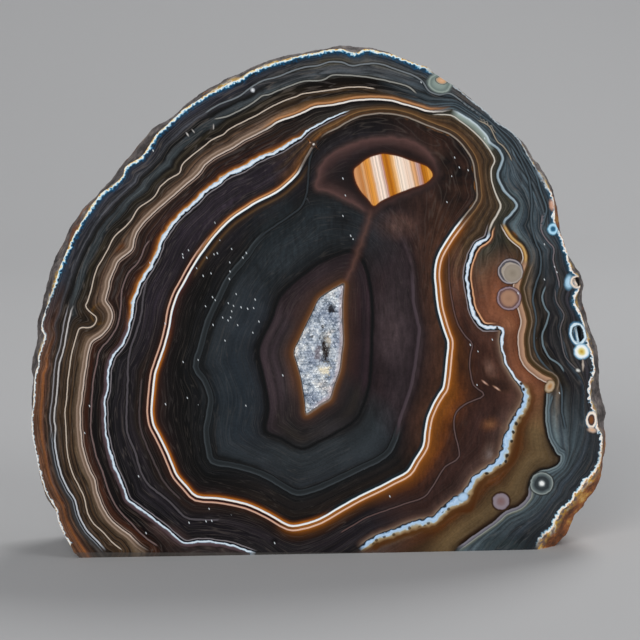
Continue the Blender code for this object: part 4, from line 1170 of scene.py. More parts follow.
# Round marks over the lines, given in the same way: the eyes, the open bubbles and the pale dots
roundMarks = [
    ((510.4, 271.4), (14, 14), 0, [(0, "#93887a", 1), (0.5, "#9a8e80", 1), (0.6, "#a89c8e", 1),
        (0.66, "#5a565a", 1), (0.76, "#46444a", 1), (0.81, "#9f999c", 1), (0.87, "#8a8286", 1),
        (0.91, "#1c1412", 0.9), (1, "#33201a", 0)]),
    ((512.6, 273.2), (10.4, 10.4), 0, [(0, "#857a6c", 1), (0.5, "#958a7c", 1), (0.8, "#8f8478", 1),
        (0.9, "#a89e94", 0.8), (0.96, "#a89e94", 0.4), (1, "#a4988a", 0)]),
    ((509, 298.4), (13.4, 13), 0, [(0, "#94705a", 1), (0.4, "#a27c64", 1), (0.58, "#98735e", 1),
        (0.64, "#7a5c54", 1), (0.74, "#5f4642", 1), (0.8, "#968288", 1), (0.87, "#86727a", 1),
        (0.92, "#33201a", 0.9), (1, "#4a302a", 0)]),
    ((501, 501.4), (10.6, 10.6), 0, [(0, "#7a5e5e", 1), (0.3, "#7d686a", 1), (0.5, "#887a80", 1),
        (0.7, "#857a82", 1), (0.77, "#6a5c60", 1), (0.82, "#2a160c", 1), (0.92, "#33200f", 0.8),
        (1, "#3a281c", 0)]),
    ((541.8, 483.5), (13.5, 13), 0, [(0, "#f4f4f2", 1), (0.12, "#e6e8e6", 1), (0.22, "#7a8082", 1),
        (0.3, "#353b3e", 1), (0.5, "#2c3134", 1), (0.62, "#4a5356", 1), (0.74, "#66706f", 1),
        (0.82, "#8f9896", 1), (0.88, "#20201e", 0.9), (1, "#20201e", 0)]),
    ((440, 83), (15, 12), 12, [(0, "#8f9c94", 1), (0.4, "#83918a", 1), (0.62, "#6a7873", 1),
        (0.74, "#98a49c", 0.95), (0.84, "#5f6a68", 0.8), (1, "#33383a", 0)]),
    ((441.6, 80.6), (7.4, 4.4), 16, [(0, "#d8ae8a", 1), (0.5, "#c99a74", 1), (0.72, "#a89a86", 0.9),
        (0.84, "#39403f", 0.9), (1, "#5f6a68", 0)]),
    ((553, 229), (6.4, 7), 14, [(0, "#24506a", 1), (0.3, "#2f6484", 1), (0.5, "#9fd0ea", 1),
        (0.68, "#b4dcf0", 0.95), (0.82, "#4f8aa8", 0.8), (1, "#1c465c", 0)]),
    ((541, 174), (5, 10), -34, [(0, "#b4c4d0", 0.95), (0.5, "#93a4b0", 0.7), (1, "#4f5c64", 0)]),
    ((551.6, 205), (3.6, 8), -10, [(0, "#d4a284", 0.95), (0.5, "#c09078", 0.8), (1, "#6a5a50", 0)]),
    ((569, 282), (6, 10), 6, [(0, "#bcdcf0", 1), (0.5, "#a4cce4", 0.9), (0.8, "#4f7a94", 0.5),
        (1, "#33383d", 0)]),
    # the two open bubbles at the rim: their black middles are painted shade inside the holes
    ((577, 282), (8, 8), 0, [(0, "#0a0a0c", 1), (0.5, "#101012", 1), (0.6, "#f0e0d0", 1),
        (0.74, "#e4d0c0", 0.95), (0.84, "#8aa4b4", 0.7), (1, "#33383d", 0)]),
    ((577.8, 334), (10, 14), -12, [(0, "#0c0d0e", 1), (0.56, "#121416", 1), (0.64, "#c4e0f0", 1),
        (0.76, "#dceaf0", 1), (0.84, "#4f86a8", 0.8), (1, "#1c2e3c", 0)]),
    ((581.6, 351.6), (9, 9), 0, [(0, "#b08c30", 1), (0.2, "#d4b860", 1), (0.36, "#e0d8a0", 1),
        (0.5, "#f2f4ee", 1), (0.7, "#dceaf2", 1), (0.84, "#7fb0cc", 0.8), (1, "#24404f", 0)]),
    ((583, 365), (1.6, 8), 0, [(0, "#c9bcb0", 0.9), (0.6, "#a99c90", 0.7), (1, "#5a4a40", 0)]),
    ((578, 370.5), (3.4, 2.4), 20, [(0, "#f0f0ec", 0.95), (0.5, "#c9c9c4", 0.7), (1, "#5a5a58", 0)]),
    ((591.5, 420), (6.6, 10.6), 6, [(0, "#7a4a20", 1), (0.3, "#6a4028", 1), (0.48, "#3a3436", 1),
        (0.6, "#f4e8dc", 1), (0.78, "#eadccc", 0.95), (0.88, "#5f8ca8", 0.6), (1, "#26292d", 0)]),
    ((592, 430), (7, 3.6), 12, [(0, "#e0b084", 0.95), (0.5, "#d0b4a0", 0.8), (1, "#5a4a40", 0)]),
    ((550, 386.5), (6, 8), 24, [(0, "#a87040", 1), (0.3, "#b08c64", 1), (0.6, "#b4a088", 1),
        (0.78, "#8a7456", 0.9), (0.9, "#33281a", 0.7), (1, "#33281a", 0)]),
    ((313.6, 144.2), (4, 4), 0, [(0, "#e8e4e0", 1), (0.2, "#c8c0b8", 1), (0.4, "#3a2a20", 0.95),
        (0.8, "#3a2a20", 0.8), (1, "#3a2a20", 0)]),
    ((187.6, 134.4), (1.1, 3.2), -30, [(0, "#d8d4d0", 0.9), (0.6, "#a8a4a0", 0.7), (1, "#4a4c50", 0)]),
    ((193, 131), (1, 3), -34, [(0, "#c8c4c0", 0.8), (0.6, "#989490", 0.6), (1, "#4a4c50", 0)]),
    ((213.4, 127), (1, 3.8), 8, [(0, "#d0ccc8", 0.8), (0.6, "#a09c98", 0.6), (1, "#4a4c50", 0)]),
    ((252.6, 90), (3, 3), 0, [(0, "#eef0f2", 1), (0.5, "#b4b8bc", 0.9), (1, "#4a4c50", 0)]),
    ((463, 497), (6, 5), -20, [(0, "#b9d4ee", 1), (0.6, "#a9c6e2", 1), (0.85, "#8aa8c0", 0.6),
        (1, "#3a3430", 0)]),
    ((485, 382.6), (6, 1.5), 38, [(0, "#d8b4a4", 0.9), (0.5, "#a8806c", 0.7), (1, "#4a2a20", 0)]),
    ((497, 388.4), (6.5, 1.5), 34, [(0, "#e0bcac", 0.95), (0.5, "#b08870", 0.7), (1, "#4a2a20", 0)]),
    ((274.6, 541), (5, 4), 0, [(0, "#050405", 0.9), (0.5, "#0a0808", 0.7), (1, "#141012", 0)]),
]
# small open bubbles in the lace, all dark inside with painted shade: pixel and radii
laceBubbles = [
    ((497, 327.3), (1.5, 1.3)), ((521.2, 383.6), (1.8, 2)), ((523.9, 389.5), (1.9, 2.4)),
    ((516.1, 423.6), (2.2, 2.6)), ((513.3, 432.1), (1.9, 2.2)), ((511.8, 441.2), (2, 2.2)),
    ((507.3, 455.8), (2.6, 2.8)), ((506, 461.4), (2, 2.6)), ((486.7, 473.3), (2.6, 1.8)),
]
bubbleShadeRings = [(0, "#1c140e", 1), (0.6, "#33281c", 0.95), (1, "#6a6054", 0)]
roundMarks += [(at, radius, 0, bubbleShadeRings) for at, radius in laceBubbles]

# Where open pores lie close together: pixel, radii, how many of the places hold one
poreSwarms = [
    ((230, 292), (36, 62), 0.9), ((190, 262), (20, 26), 0.3), ((455, 182), (18, 30), 0.6),
    ((345, 224), (18, 20), 0.5), ((235, 250), (40, 20), 0.3), ((190, 370), (16, 60), 0.3),
    ((550, 270), (14, 30), 0.4), ((300, 215), (20, 14), 0.3), ((200, 520), (40, 14), 0.35),
    ((470, 330), (30, 60), 0.15)]
# hairlines where a fine noise passes these heights
hairlines = [(0.40, "#6f6864", 0), (0.43, "#6f6864", 0.22), (0.45, "#6f6864", 0), (0.47, "#060504", 0),
    (0.50, "#060504", 0.55), (0.525, "#060504", 0), (0.535, "#7a6f66", 0), (0.56, "#7a6f66", 0.26),
    (0.58, "#7a6f66", 0), (0.59, "#0a0807", 0), (0.61, "#0a0807", 0.5), (0.64, "#0a0807", 0)]
# stripes of the orange window, from its left end to its right
windowStripes = [(0, "#c98a5e"), (0.05, "#d0925e"), (0.10, "#b8763c"), (0.13, "#dca878"),
    (0.16, "#c98440"), (0.20, "#e0963c"), (0.235, "#d89a5c"), (0.26, "#ead0bc"), (0.33, "#f2ddcc"),
    (0.37, "#d8b8a8"), (0.385, "#c08a80"), (0.40, "#c07a20"), (0.44, "#a85f0e"), (0.475, "#c87f22"),
    (0.52, "#e8b478"), (0.56, "#f0dcc8"), (0.62, "#f4e0ce"), (0.66, "#e8cbb4"), (0.70, "#efd6c2"),
    (0.735, "#dca878"), (0.77, "#d49a68"), (0.80, "#c4a29c"), (0.82, "#b8908a"), (0.85, "#a8620e"),
    (0.90, "#c47a1c"), (0.95, "#e0a048"), (1, "#d08a34")]


def newGroup(name, takes, gives):
    group = bpy.data.node_groups.new(name, "ShaderNodeTree")
    for direction, sockets in (("INPUT", takes), ("OUTPUT", gives)):
        for socket, kind in sockets.items():
            group.interface.new_socket(socket, in_out=direction, socket_type="NodeSocket" + kind)
    return group, addNode(group, "NodeGroupInput").outputs


def noiseOf(tree, vector, size, low=0.0, high=1.0, detail=2.0, rough=0.5, span=(0.3, 0.7)):
    # noise with features of this size, spread over a range
    noise = addNode(
        tree, "TexNoise", {"Vector": vector, "Scale": 1 / size, "Detail": detail, "Roughness": rough})
    return addNode(
        tree, "MapRange",
        {"Value": noise, "From Min": span[0], "From Max": span[1], "To Min": low, "To Max": high},
        clamp=low >= 0)


def inRadii(tree, pixel, at, radius):  # an upright oval round a point: 1 at its edge
    scaled = addNode(
        tree, "VectorMath",
        [pixel, (1 / radius[0], 1 / radius[1], 0), (-at[0] / radius[0], -at[1] / radius[1], 0)],
        operation="MULTIPLY_ADD")
    return addNode(tree, "VectorMath", [scaled], operation="LENGTH").outputs["Value"]


def turnedPixel(tree, pixel, degrees):
    cos, sin = math.cos(math.radians(degrees)), math.sin(math.radians(degrees))
    across = addNode(tree, "VectorMath", [pixel, (cos, sin, 0)], operation="DOT_PRODUCT").outputs["Value"]
    down = addNode(tree, "VectorMath", [pixel, (-sin, cos, 0)], operation="DOT_PRODUCT").outputs["Value"]
    return addNode(tree, "CombineXYZ", [across, down])


def turnedSpot(at, degrees):
    cos, sin = math.cos(math.radians(degrees)), math.sin(math.radians(degrees))
    return (at[0] * cos + at[1] * sin, at[1] * cos - at[0] * sin)


def bandTextures():  # every noise of the stone, made once
    gives = ("Waver", "Ragged", "Scallop", "Torn", "Hair", "Bright", "Streak", "Beads", "Pores")
    group, _ = newGroup("bandTextures", {}, dict.fromkeys(gives, "Float"))
    pixel = addNode(group, "Attribute", attribute_name="pixel").outputs["Vector"]
    growth = addNode(group, "Attribute", attribute_name="growth").outputs["Fac"]
    count = addNode(group, "Attribute", attribute_name="bandCount").outputs["Fac"]
    waver = noiseOf(group, pixel, 1.8 * pxPerMm, -0.5, 0.5, span=(0, 1))
    ragged = noiseOf(group, pixel, 0.64 * pxPerMm, -0.5, 0.5, detail=1.0, span=(0, 1))
    # the knots of a lace line are about 1.4 mm apart
    scallop = addNode(
        group, "TexVoronoi", {"Vector": pixel, "Scale": 1 / (1.4 * pxPerMm)}, feature="SMOOTH_F1",
        voronoi_dimensions="2D")
    scallop = addNode(group, "Math", [scallop, 0.42], operation="SUBTRACT")
    torn = noiseOf(group, pixel, 2.8 * pxPerMm, 0.45, 1.0, detail=3.0, span=(0.3, 0.65))
    # Fine parallel bands that follow the growth and pinch out along it, about as wide as bandsPerZone
    # says. Real ones go down to a few hundredths of a millimetre, too fine to show, so these are coarser.
    slow = addNode(group, "VectorMath", [pixel, (0.014, 0.014, 0)], operation="MULTIPLY")
    slow = addNode(group, "SeparateXYZ", [slow]).outputs
    wavy = addNode(group, "Math", [waver, 0.15, count], operation="MULTIPLY_ADD")
    sheet = addNode(group, "CombineXYZ", [wavy, slow[0], slow[1]])
    bright = noiseOf(group, sheet, 0.62, -0.42, 0.4, detail=2.0, rough=0.6, span=(0.32, 0.68))
    fine = addNode(group, "Attribute", attribute_name="fine").outputs["Fac"]
    bright = addNode(group, "Math", [bright, fine, 1], operation="MULTIPLY_ADD")
    hair = addNode(
        group, "TexNoise", {"Vector": sheet, "Scale": 1.1, "Detail": 1.0, "Roughness": 0.4}).outputs[0]
    # a slow mottle, a fine grain and, right of the hollow, short upright fibres
    tall = addNode(
        group, "VectorMath", [pixel, (1 / (0.52 * pxPerMm), 1 / (1.8 * pxPerMm), 0)], operation="MULTIPLY")
    fibre = noiseOf(group, tall, 1.6, 0.75, 1.28, rough=0.6, span=(0.32, 0.68))
    onRight = addNode(group, "Attribute", attribute_name="innerRight").outputs["Fac"]
    onTop = addNode(group, "Attribute", attribute_name="innerTop").outputs["Fac"]
    furry = addNode(group, "Math", [onRight, onTop], operation="MAXIMUM")
    for low, high in ((2.1, 3.6), (6.6, 5.8)):
        deep = addNode(group, "MapRange", {"Value": growth, "From Min": low, "From Max": high})
        furry = addNode(group, "Math", [furry, deep], operation="MULTIPLY")
    fibre = addNode(group, "Mix", {0: furry, 2: 1.0, 3: fibre})
    mottle = noiseOf(group, pixel, 8 * pxPerMm, 0.75, 1.25)
    grain = noiseOf(group, pixel, 0.44 * pxPerMm, 0.86, 1.14, detail=1.0, span=(0.25, 0.75))
    for part in (fibre, mottle, grain):
        bright = addNode(group, "Math", [bright, part], operation="MULTIPLY")
    streak = addNode(group, "Mapping", {
        "Vector": pixel, "Location": (354, 178, 0), "Rotation": (0, 0, math.radians(-12)),
        "Scale": (80, 80, 1000)}, vector_type="TEXTURE")
    streak = addNode(group, "SeparateXYZ", [streak]).outputs[0]
    beads = addNode(
        group, "TexVoronoi", {"Vector": pixel, "Scale": 1 / (1.7 * pxPerMm)}, voronoi_dimensions="2D")
    beads = addNode(
        group, "MapRange", {"Value": beads, "From Min": 0.24, "From Max": 0.15, "To Max": 0.85})
    # tiny open pores that hold polish, in loose swarms, as short slanting dashes
    crowd = None
    for at, radius, chance in poreSwarms:
        near = addNode(group, "Math", [1, inRadii(group, pixel, at, radius)], operation="SUBTRACT")
        near = addNode(group, "Math", [near, 0], operation="MAXIMUM")
        near = addNode(group, "Math", [near, chance], operation="MULTIPLY")
        crowd = near if crowd is None else addNode(group, "Math", [crowd, near], operation="ADD")
    pores = None
    for cell, radius, spare in ((0.8 * pxPerMm, 0.16, 0.001), (1.2 * pxPerMm, 0.12, 0.004)):
        slanted = addNode(group, "Mapping", {
            "Vector": pixel, "Location": (cell, cell, 0), "Rotation": (0, 0, math.radians(-24)),
            "Scale": (cell * 0.9, cell * 2.2, 1000)}, vector_type="TEXTURE")
        cells = addNode(
            group, "TexVoronoi", {"Vector": slanted, "Scale": 1.0}, voronoi_dimensions="2D").outputs
        dot = addNode(
            group, "MapRange", {"Value": cells["Distance"], "From Min": radius, "From Max": radius * 0.5})
        drawn = addNode(group, "SeparateColor", [cells["Color"]])
        chance = addNode(group, "Math", [crowd, 0.34, spare], operation="MULTIPLY_ADD")
        chosen = addNode(group, "Math", [drawn, chance], operation="LESS_THAN")
        dot = addNode(group, "Math", [dot, chosen], operation="MULTIPLY")
        pores = dot if pores is None else addNode(group, "Math", [pores, dot], operation="MAXIMUM")
    # the waver takes a little of the other noises, so all that is drawn with it is worked out after them
    for other in (bright, streak, pores, beads, hair):
        waver = addNode(group, "Math", [other, 0.004, waver], operation="MULTIPLY_ADD")
    made = (waver, ragged, scallop, torn, hair, bright, streak, beads, pores)
    addNode(group, "NodeGroupOutput", dict(zip(gives, made)))
    return group


def zoneColours(name, colours, start, span):  # one run of bands all round the stone
    group, given = newGroup(name, {"Under": "Color", "Growth": "Float"}, {"Colour": "Color"})
    place = addNode(group, "Math", [given["Growth"], 1 / span, -start / span], operation="MULTIPLY_ADD")
    colour = None
    for sector, marks in colours.items():
        ramp = addNode(group, "ValToRGB", [place],
            [((grown - start) / span, shade) for grown, shade in marks])
        if colour is None:
            colour = ramp.outputs["Color"]
        else:
            share = addNode(group, "Attribute", attribute_name=sector).outputs["Fac"]
            colour = addNode(
                group, "Mix", {0: share, 6: colour, 7: ramp.outputs["Color"]}, data_type="RGBA")
    if start > 0:
        within = addNode(group, "Math", [given["Growth"], start], operation="GREATER_THAN")
        colour = addNode(group, "Mix", {0: within, 6: given["Under"], 7: colour}, data_type="RGBA")
    addNode(group, "NodeGroupOutput", {"Colour": colour})
    return group


def patchColours(name, patches):  # oval patches or marks, one over the other
    group, given = newGroup(name, {"Under": "Color", "Pixel": "Vector", "Torn": "Float"},
        {"Colour": "Color"})
    colour = given["Under"]
    turned = {0: given["Pixel"]}
    for at, radius, turn, rings in patches:
        if turn not in turned:
            turned[turn] = turnedPixel(group, given["Pixel"], turn)
        reach = inRadii(group, turned[turn], turnedSpot(at, turn), radius)
        colour = layOver(group, colour, addNode(group, "ValToRGB", [reach], rings), given["Torn"])
    addNode(group, "NodeGroupOutput", {"Colour": colour})
    return group


def lineColours(name, looks):  # the strokes beside one line
    group, given = newGroup(
        "line_" + name,
        {"Under": "Color", "Waver": "Float", "Ragged": "Float", "Scallop": "Float", "Beads": "Float"},
        {"Colour": "Color"})
    colour, waver = given["Under"], given["Waver"]
    measured = addNode(group, "Attribute", attribute_name=name).outputs["Color"]
    measured = addNode(group, "SeparateXYZ", [measured]).outputs
    if name in laceWidths:
        width = addNode(group, "Attribute", attribute_name=name + "Half").outputs["Fac"]
    closed = name in closedLines
    length = np.hypot(*np.diff(curveThrough(bandLines[name], closed), axis=0).T).sum()
    if not closed or any("between" in look for look in looks):
        along = addNode(group, "Math", [waver, 0.006, measured[1]], operation="MULTIPLY_ADD")
    for look in looks:
        distance = addNode(group, "Math", [waver, look["wobble"] * 2, measured[0]],
            operation="MULTIPLY_ADD")
        if look.get("anchor"):
            distance = addNode(group, "Math", [width, -look["anchor"], distance],
                operation="MULTIPLY_ADD")
        if look.get("scaled"):
            distance = addNode(group, "Math", [distance, width], operation="DIVIDE")
        for shape, amount in (("Ragged", look.get("ragged", 0) * 2), ("Scallop", look.get("lace", 0))):
            if amount:
                distance = addNode(group, "Math", [given[shape], amount, distance], operation="MULTIPLY_ADD")
        first, last = sorted(alongOf(name, at) for at in look["between"]) if "between" in look else (0, 1)
        shares = []
        if not closed or "between" in look:  # the stroke comes in and goes out softly at its ends
            soft = max(look.get("fade", 4) / length, 0.012)
            stops = [(max(first - soft / 2, 0), 0), (max(first + soft / 2, soft), 1),
                (min(last - soft / 2, 1 - soft), 1), (min(last + soft / 2, 1), 0)]
            if closed:
                stops = stops[(first < 0.004) * 2:4 - (last > 0.996) * 2]
            gate = addNode(group, "ValToRGB", [along],
                [(place, "#000000", cover) for place, cover in stops])
            shares.append(gate.outputs["Alpha"])
        if look.get("beads"):
            shares.append(given["Beads"])
        colour = layOver(group, colour, profile(group, distance, look["across"]), *shares)
    addNode(group, "NodeGroupOutput", {"Colour": colour})
    return group


def hairColours():  # the thin lines, each in its own colour between two dark ones
    group, given = newGroup("hairlines", {"Under": "Color", "Waver": "Float"}, {"Colour": "Color"})
    measured = addNode(group, "Attribute", attribute_name="hairline").outputs["Color"]
    measured = addNode(group, "SeparateXYZ", [measured]).outputs
    across = addNode(group, "Math", [given["Waver"], 1.8, measured[0]], operation="MULTIPLY_ADD")
    near = addNode(group, "Math", [given["Waver"], 1.0, measured[1]], operation="MULTIPLY_ADD")
    near = addNode(group, "Math", [near, 3.2], operation="LESS_THAN")
    near = addNode(group, "Math", [near, measured[2]], operation="MULTIPLY")
    beside = profile(group, across, [
        (-3.2, "#0a0908", 0), (-2, "#0a0908", 0.6), (-1.2, "#0a0908", 0.8), (1.2, "#0a0908", 0.8),
        (2, "#0a0908", 0.5), (3.2, "#0a0908", 0)])
    colour = layOver(group, given["Under"], beside, near)
    core = addNode(group, "Math", [across], operation="ABSOLUTE")
    core = addNode(group, "MapRange", {"Value": core, "From Min": 1.4, "From Max": 0.7}, clamp=False)
    core = addNode(group, "Math", [core, near], operation="MULTIPLY")
    own = addNode(group, "Attribute", attribute_name="hairColour").outputs["Color"]
    colour = addNode(group, "Mix", {0: core, 6: colour, 7: own}, data_type="RGBA")
    addNode(group, "NodeGroupOutput", {"Colour": colour})
    return group


def windowColours():  # the carnelian window: slanting stripes inside a sharp outline
    group, given = newGroup("carnelianWindow", {"Under": "Color", "Waver": "Float", "Streak": "Float"},
        {"Colour": "Color"})
    inWindow = addNode(group, "Attribute", attribute_name="window").outputs["Vector"]
    inWindow = addNode(group, "SeparateXYZ", [inWindow]).outputs[0]
    inWindow = addNode(group, "Math", [given["Waver"], 1.0, inWindow], operation="MULTIPLY_ADD")
    across = addNode(group, "Math", [given["Waver"], 0.012, given["Streak"]], operation="MULTIPLY_ADD")
    stripes = addNode(group, "ValToRGB", [across], windowStripes)
    streak = addNode(group, "Math", [across, 46], operation="MULTIPLY")
    streak = addNode(
        group, "TexNoise", {"W": streak, "Scale": 1.0, "Detail": 3.0, "Roughness": 0.7},
        noise_dimensions="1D")
    streak = addNode(
        group, "MapRange",
        {"Value": streak, "From Min": 0.3, "From Max": 0.7, "To Min": 0.72, "To Max": 1.22}, clamp=False)
    striped = addNode(group, "HueSaturation", {"Color": stripes.outputs["Color"], "Value": streak})
    edge = profile(group, inWindow, [
        (-0.5, "#6a3210", 0.95), (0.8, "#4a220e", 0.9), (2.2, "#24120c", 0.75), (6, "#170e0e", 0.5),
        (11, "#1a1010", 0)])
    colour = layOver(group, given["Under"], edge)
    inside = addNode(group, "MapRange", {"Value": inWindow, "From Min": 0.4, "From Max": -0.4},
        clamp=False)
    colour = addNode(group, "Mix", {0: inside, 6: colour, 7: striped}, data_type="RGBA")
    addNode(group, "NodeGroupOutput", {"Colour": colour})
    return group


def paintBands():
    tree, _ = newGroup("bandedAgate", {}, {"Colour": "Color", "Pits": "Float"})
    textures = addNode(tree, "Group", node_tree=bandTextures()).outputs
    waver = textures["Waver"]
    ragged = textures["Ragged"]
    growth = addNode(tree, "Attribute", attribute_name="growth").outputs["Fac"]
    growth = addNode(tree, "Math", [waver, 0.07, growth], operation="MULTIPLY_ADD")
    shake = addNode(tree, "CombineXYZ", [
        addNode(tree, "Math", [waver, 2.4, ragged], operation="MULTIPLY_ADD"),
        addNode(tree, "Math", [ragged, 1.2, waver], operation="MULTIPLY_ADD")])
    pixel = addNode(tree, "Attribute", attribute_name="pixel").outputs["Vector"]
    shaken = addNode(tree, "VectorMath", [pixel, shake], operation="ADD")
    colour = (0, 0, 0, 1)
    zones = (  # colours, where the run starts in growth, and how far it goes
        ("rimBands", rimColours, 0, 2), ("middleBands", middleColours, 2, 2),
        ("innerBands", innerColours, 4, 3))
    for name, colours, start, span in zones:
        colour = addNode(tree, "Group", {"Under": colour, "Growth": growth},
            node_tree=zoneColours(name, colours, start, span))
    colour = addNode(tree, "Group", {"Under": colour, "Pixel": shaken, "Torn": textures["Torn"]},
        node_tree=patchColours("softPatches", softPatches))
    colour = addNode(tree, "HueSaturation", {"Color": colour, "Value": textures["Bright"]})
    fine = addNode(tree, "Attribute", attribute_name="fine").outputs["Fac"]
    colour = layOver(tree, colour, profile(tree, textures["Hair"], hairlines), fine)
    colour = addNode(tree, "Group", {"Under": colour, "Waver": waver}, node_tree=hairColours())
    for name, looks in lineLooks.items():
        shapes = {key: textures[key] for key in ("Waver", "Ragged", "Scallop", "Beads")}
        colour = addNode(tree, "Group", {"Under": colour, **shapes}, node_tree=lineColours(name, looks))
    colour = addNode(tree, "Group", {"Under": colour, "Pixel": shaken, "Torn": 1.0},
        node_tree=patchColours("roundMarks", roundMarks))
    colour = addNode(tree, "Group", {"Under": colour, "Waver": waver, "Streak": textures["Streak"]},
        node_tree=windowColours())
    cover = addNode(tree, "Math", [textures["Pores"], 0.92], operation="MULTIPLY")
    colour = addNode(tree, "Mix", {0: cover, 6: colour, 7: linear("#ccd2d6")}, data_type="RGBA")
    addNode(tree, "NodeGroupOutput", {"Colour": colour, "Pits": textures["Pores"]})
    return tree


bandGroup = paintBands()
print("bands painted")


def newMaterial(name):
    material = bpy.data.materials.new(name)
    material.use_nodes = True
    return material, material.node_tree, material.node_tree.nodes["Principled BSDF"]


def wire(tree, source, socket):  # joins a node, or one of its outputs, to a socket of the shader
    if isinstance(source, bpy.types.Node):
        source = next(out for out in source.outputs if out.enabled)
    tree.links.new(source, socket)


# Polished chalcedony: ground and buffed on the lap, so it is near a mirror, and dark where it is deep
polished = {
    "roughness": 0.12, "poreRoughness": 0.5, "poreDepth": 0.04 * mm,
    "ior": 1.54, "specular": 0.15,  # a soft studio shows less in it than in plain glass
}
polish, tree, shader = newMaterial("polishedBandedAgate")
bands = addNode(tree, "Group", node_tree=bandGroup).outputs
wire(tree, bands["Colour"], shader.inputs["Base Color"])
dull = addNode(
    tree, "MapRange",
    {"Value": bands["Pits"], "To Min": polished["roughness"], "To Max": polished["poreRoughness"]})
wire(tree, dull, shader.inputs["Roughness"])
shader.inputs["IOR"].default_value = polished["ior"]
shader.inputs["Specular IOR Level"].default_value = polished["specular"]
pitted = addNode(
    tree, "Bump", {"Height": bands["Pits"], "Strength": 0.3, "Distance": polished["poreDepth"]}, invert=True)
wire(tree, pitted, shader.inputs["Normal"])

# Diamond sawn agate: the same bands, but fine grooves of the blade make it matt and a little greyer
sawnCut = {
    "grooveSpacing": 1.745 * mm,  # the blade's real marks are 0.2 mm apart, too fine to show
    "grooveDepth": 0.08 * mm,
    "dust": "#8a847c", "dustShare": 0.16, "roughness": 0.62, "ior": 1.54,
}
sawn, tree, shader = newMaterial("sawnBandedAgate")
bands = addNode(tree, "Group", node_tree=bandGroup).outputs
place = addNode(tree, "TexCoord").outputs["Object"]
waveScale = math.tau / 20 / sawnCut["grooveSpacing"]  # the wave texture has 20 / tau waves to a unit
grooves = addNode(
    tree, "TexWave", {"Vector": place, "Scale": waveScale, "Distortion": 2.0, "Detail": 2.0},
    bands_direction="X").outputs["Fac"]
dusty = addNode(
    tree, "Mix", {0: sawnCut["dustShare"], 6: bands["Colour"], 7: linear(sawnCut["dust"])}, data_type="RGBA")
wire(tree, dusty, shader.inputs["Base Color"])
shader.inputs["Roughness"].default_value = sawnCut["roughness"]
shader.inputs["IOR"].default_value = sawnCut["ior"]
grooved = addNode(tree, "Bump", {"Height": grooves, "Strength": 0.25, "Distance": sawnCut["grooveDepth"]})
wire(tree, grooved, shader.inputs["Normal"])

# Rind: the nodule's weathered skin, left as found, a rough iron-stained crust over chalcedony
crust = {
    "patch": 3.03 * mm, "grain": 0.77 * mm, "stain": 3.85 * mm, "stainSpots": 9.1 * mm,
    "seam": 2.08 * mm, "grit": 0.714 * mm, "gritHeight": 0.3 * mm,  # real grit is finer, and wouldn't show
    "roughness": 0.78,
}
rind, tree, shader = newMaterial("weatheredRind")
place = addNode(tree, "TexCoord").outputs["Object"]
pixel = addNode(tree, "Attribute", attribute_name="pixel").outputs["Vector"]
patches = addNode(
    tree, "TexNoise", {"Vector": place, "Scale": 1 / crust["patch"], "Detail": 6.0, "Roughness": 0.7})
skin = addNode(
    tree, "ValToRGB", [patches],
    [(0.28, "#221d1c"), (0.4, "#3d3736"), (0.48, "#57504e"), (0.55, "#6b6361"), (0.64, "#82786f"),
        (0.76, "#a0968c")])
grainy = addNode(tree, "TexNoise", {"Vector": place, "Scale": 1 / crust["grain"], "Detail": 3.0})
grainy = addNode(
    tree, "MapRange",
    {"Value": grainy, "From Min": 0.35, "From Max": 0.65, "To Min": 0.7, "To Max": 1.35})
skin = addNode(tree, "VectorMath", {0: skin, "Scale": grainy}, operation="SCALE")
stain = addNode(
    tree, "TexNoise", {"Vector": place, "Scale": 1 / crust["stain"], "Detail": 6.0, "Roughness": 0.7})
rust = addNode(
    tree, "ValToRGB", [stain],
    [(0.3, "#2a1a12"), (0.45, "#6a3c1e"), (0.54, "#9a5a2c"), (0.64, "#c9984a"), (0.8, "#e0d0b0")])
# iron stain gathers low on the right and elsewhere in small spots
lowRight = addNode(
    tree, "Mapping", {"Vector": pixel, "Location": (575, 505, 0), "Scale": (105, 105, 300)},
    vector_type="TEXTURE")
lowRight = addNode(tree, "TexGradient", [lowRight], gradient_type="SPHERICAL").outputs["Fac"]
spotty = addNode(
    tree, "TexNoise", {"Vector": place, "Scale": 1 / crust["stainSpots"], "Detail": 6.0, "Roughness": 0.65})
lowRight = addNode(tree, "Math", [spotty, 2.4, lowRight], operation="MULTIPLY_ADD")
lowRight = addNode(tree, "MapRange", {"Value": lowRight, "From Min": 1.42, "From Max": 1.75})
spotty = addNode(tree, "MapRange", {"Value": spotty, "From Min": 0.58, "From Max": 0.66, "To Max": 0.8})
rusty = addNode(tree, "Math", [lowRight, spotty], operation="MAXIMUM")
skin = addNode(tree, "Mix", {0: rusty, 6: skin, 7: rust.outputs["Color"]}, data_type="RGBA")
# next to the polish the crust is a broken cream and yellow seam
depth = addNode(tree, "Attribute", attribute_name="depth").outputs["Fac"]
seam = addNode(tree, "TexNoise", {"Vector": place, "Scale": 1 / crust["seam"], "Detail": 3.0})
seamColour = addNode(
    tree, "ValToRGB", [seam],
    [(0.34, "#4a4442"), (0.43, "#756a64"), (0.49, "#c9a04e"), (0.53, "#d8a830"), (0.57, "#e8dcc0"),
        (0.66, "#857a74"), (0.8, "#4a4442")])
close = addNode(tree, "MapRange", {"Value": depth, "From Min": 1.0, "From Max": 0.15, "To Max": 0.9})
skin = addNode(tree, "Mix", {0: close, 6: skin, 7: seamColour.outputs["Color"]}, data_type="RGBA")
wire(tree, skin, shader.inputs["Base Color"])
shader.inputs["Roughness"].default_value = crust["roughness"]
grit = addNode(
    tree, "TexNoise", {"Vector": place, "Scale": 1 / crust["grit"], "Detail": 5.0, "Roughness": 0.7})
gritty = addNode(
    tree, "Bump", {"Height": grit.outputs["Fac"], "Strength": 0.8, "Distance": crust["gritHeight"]})
wire(tree, gritty, shader.inputs["Normal"])

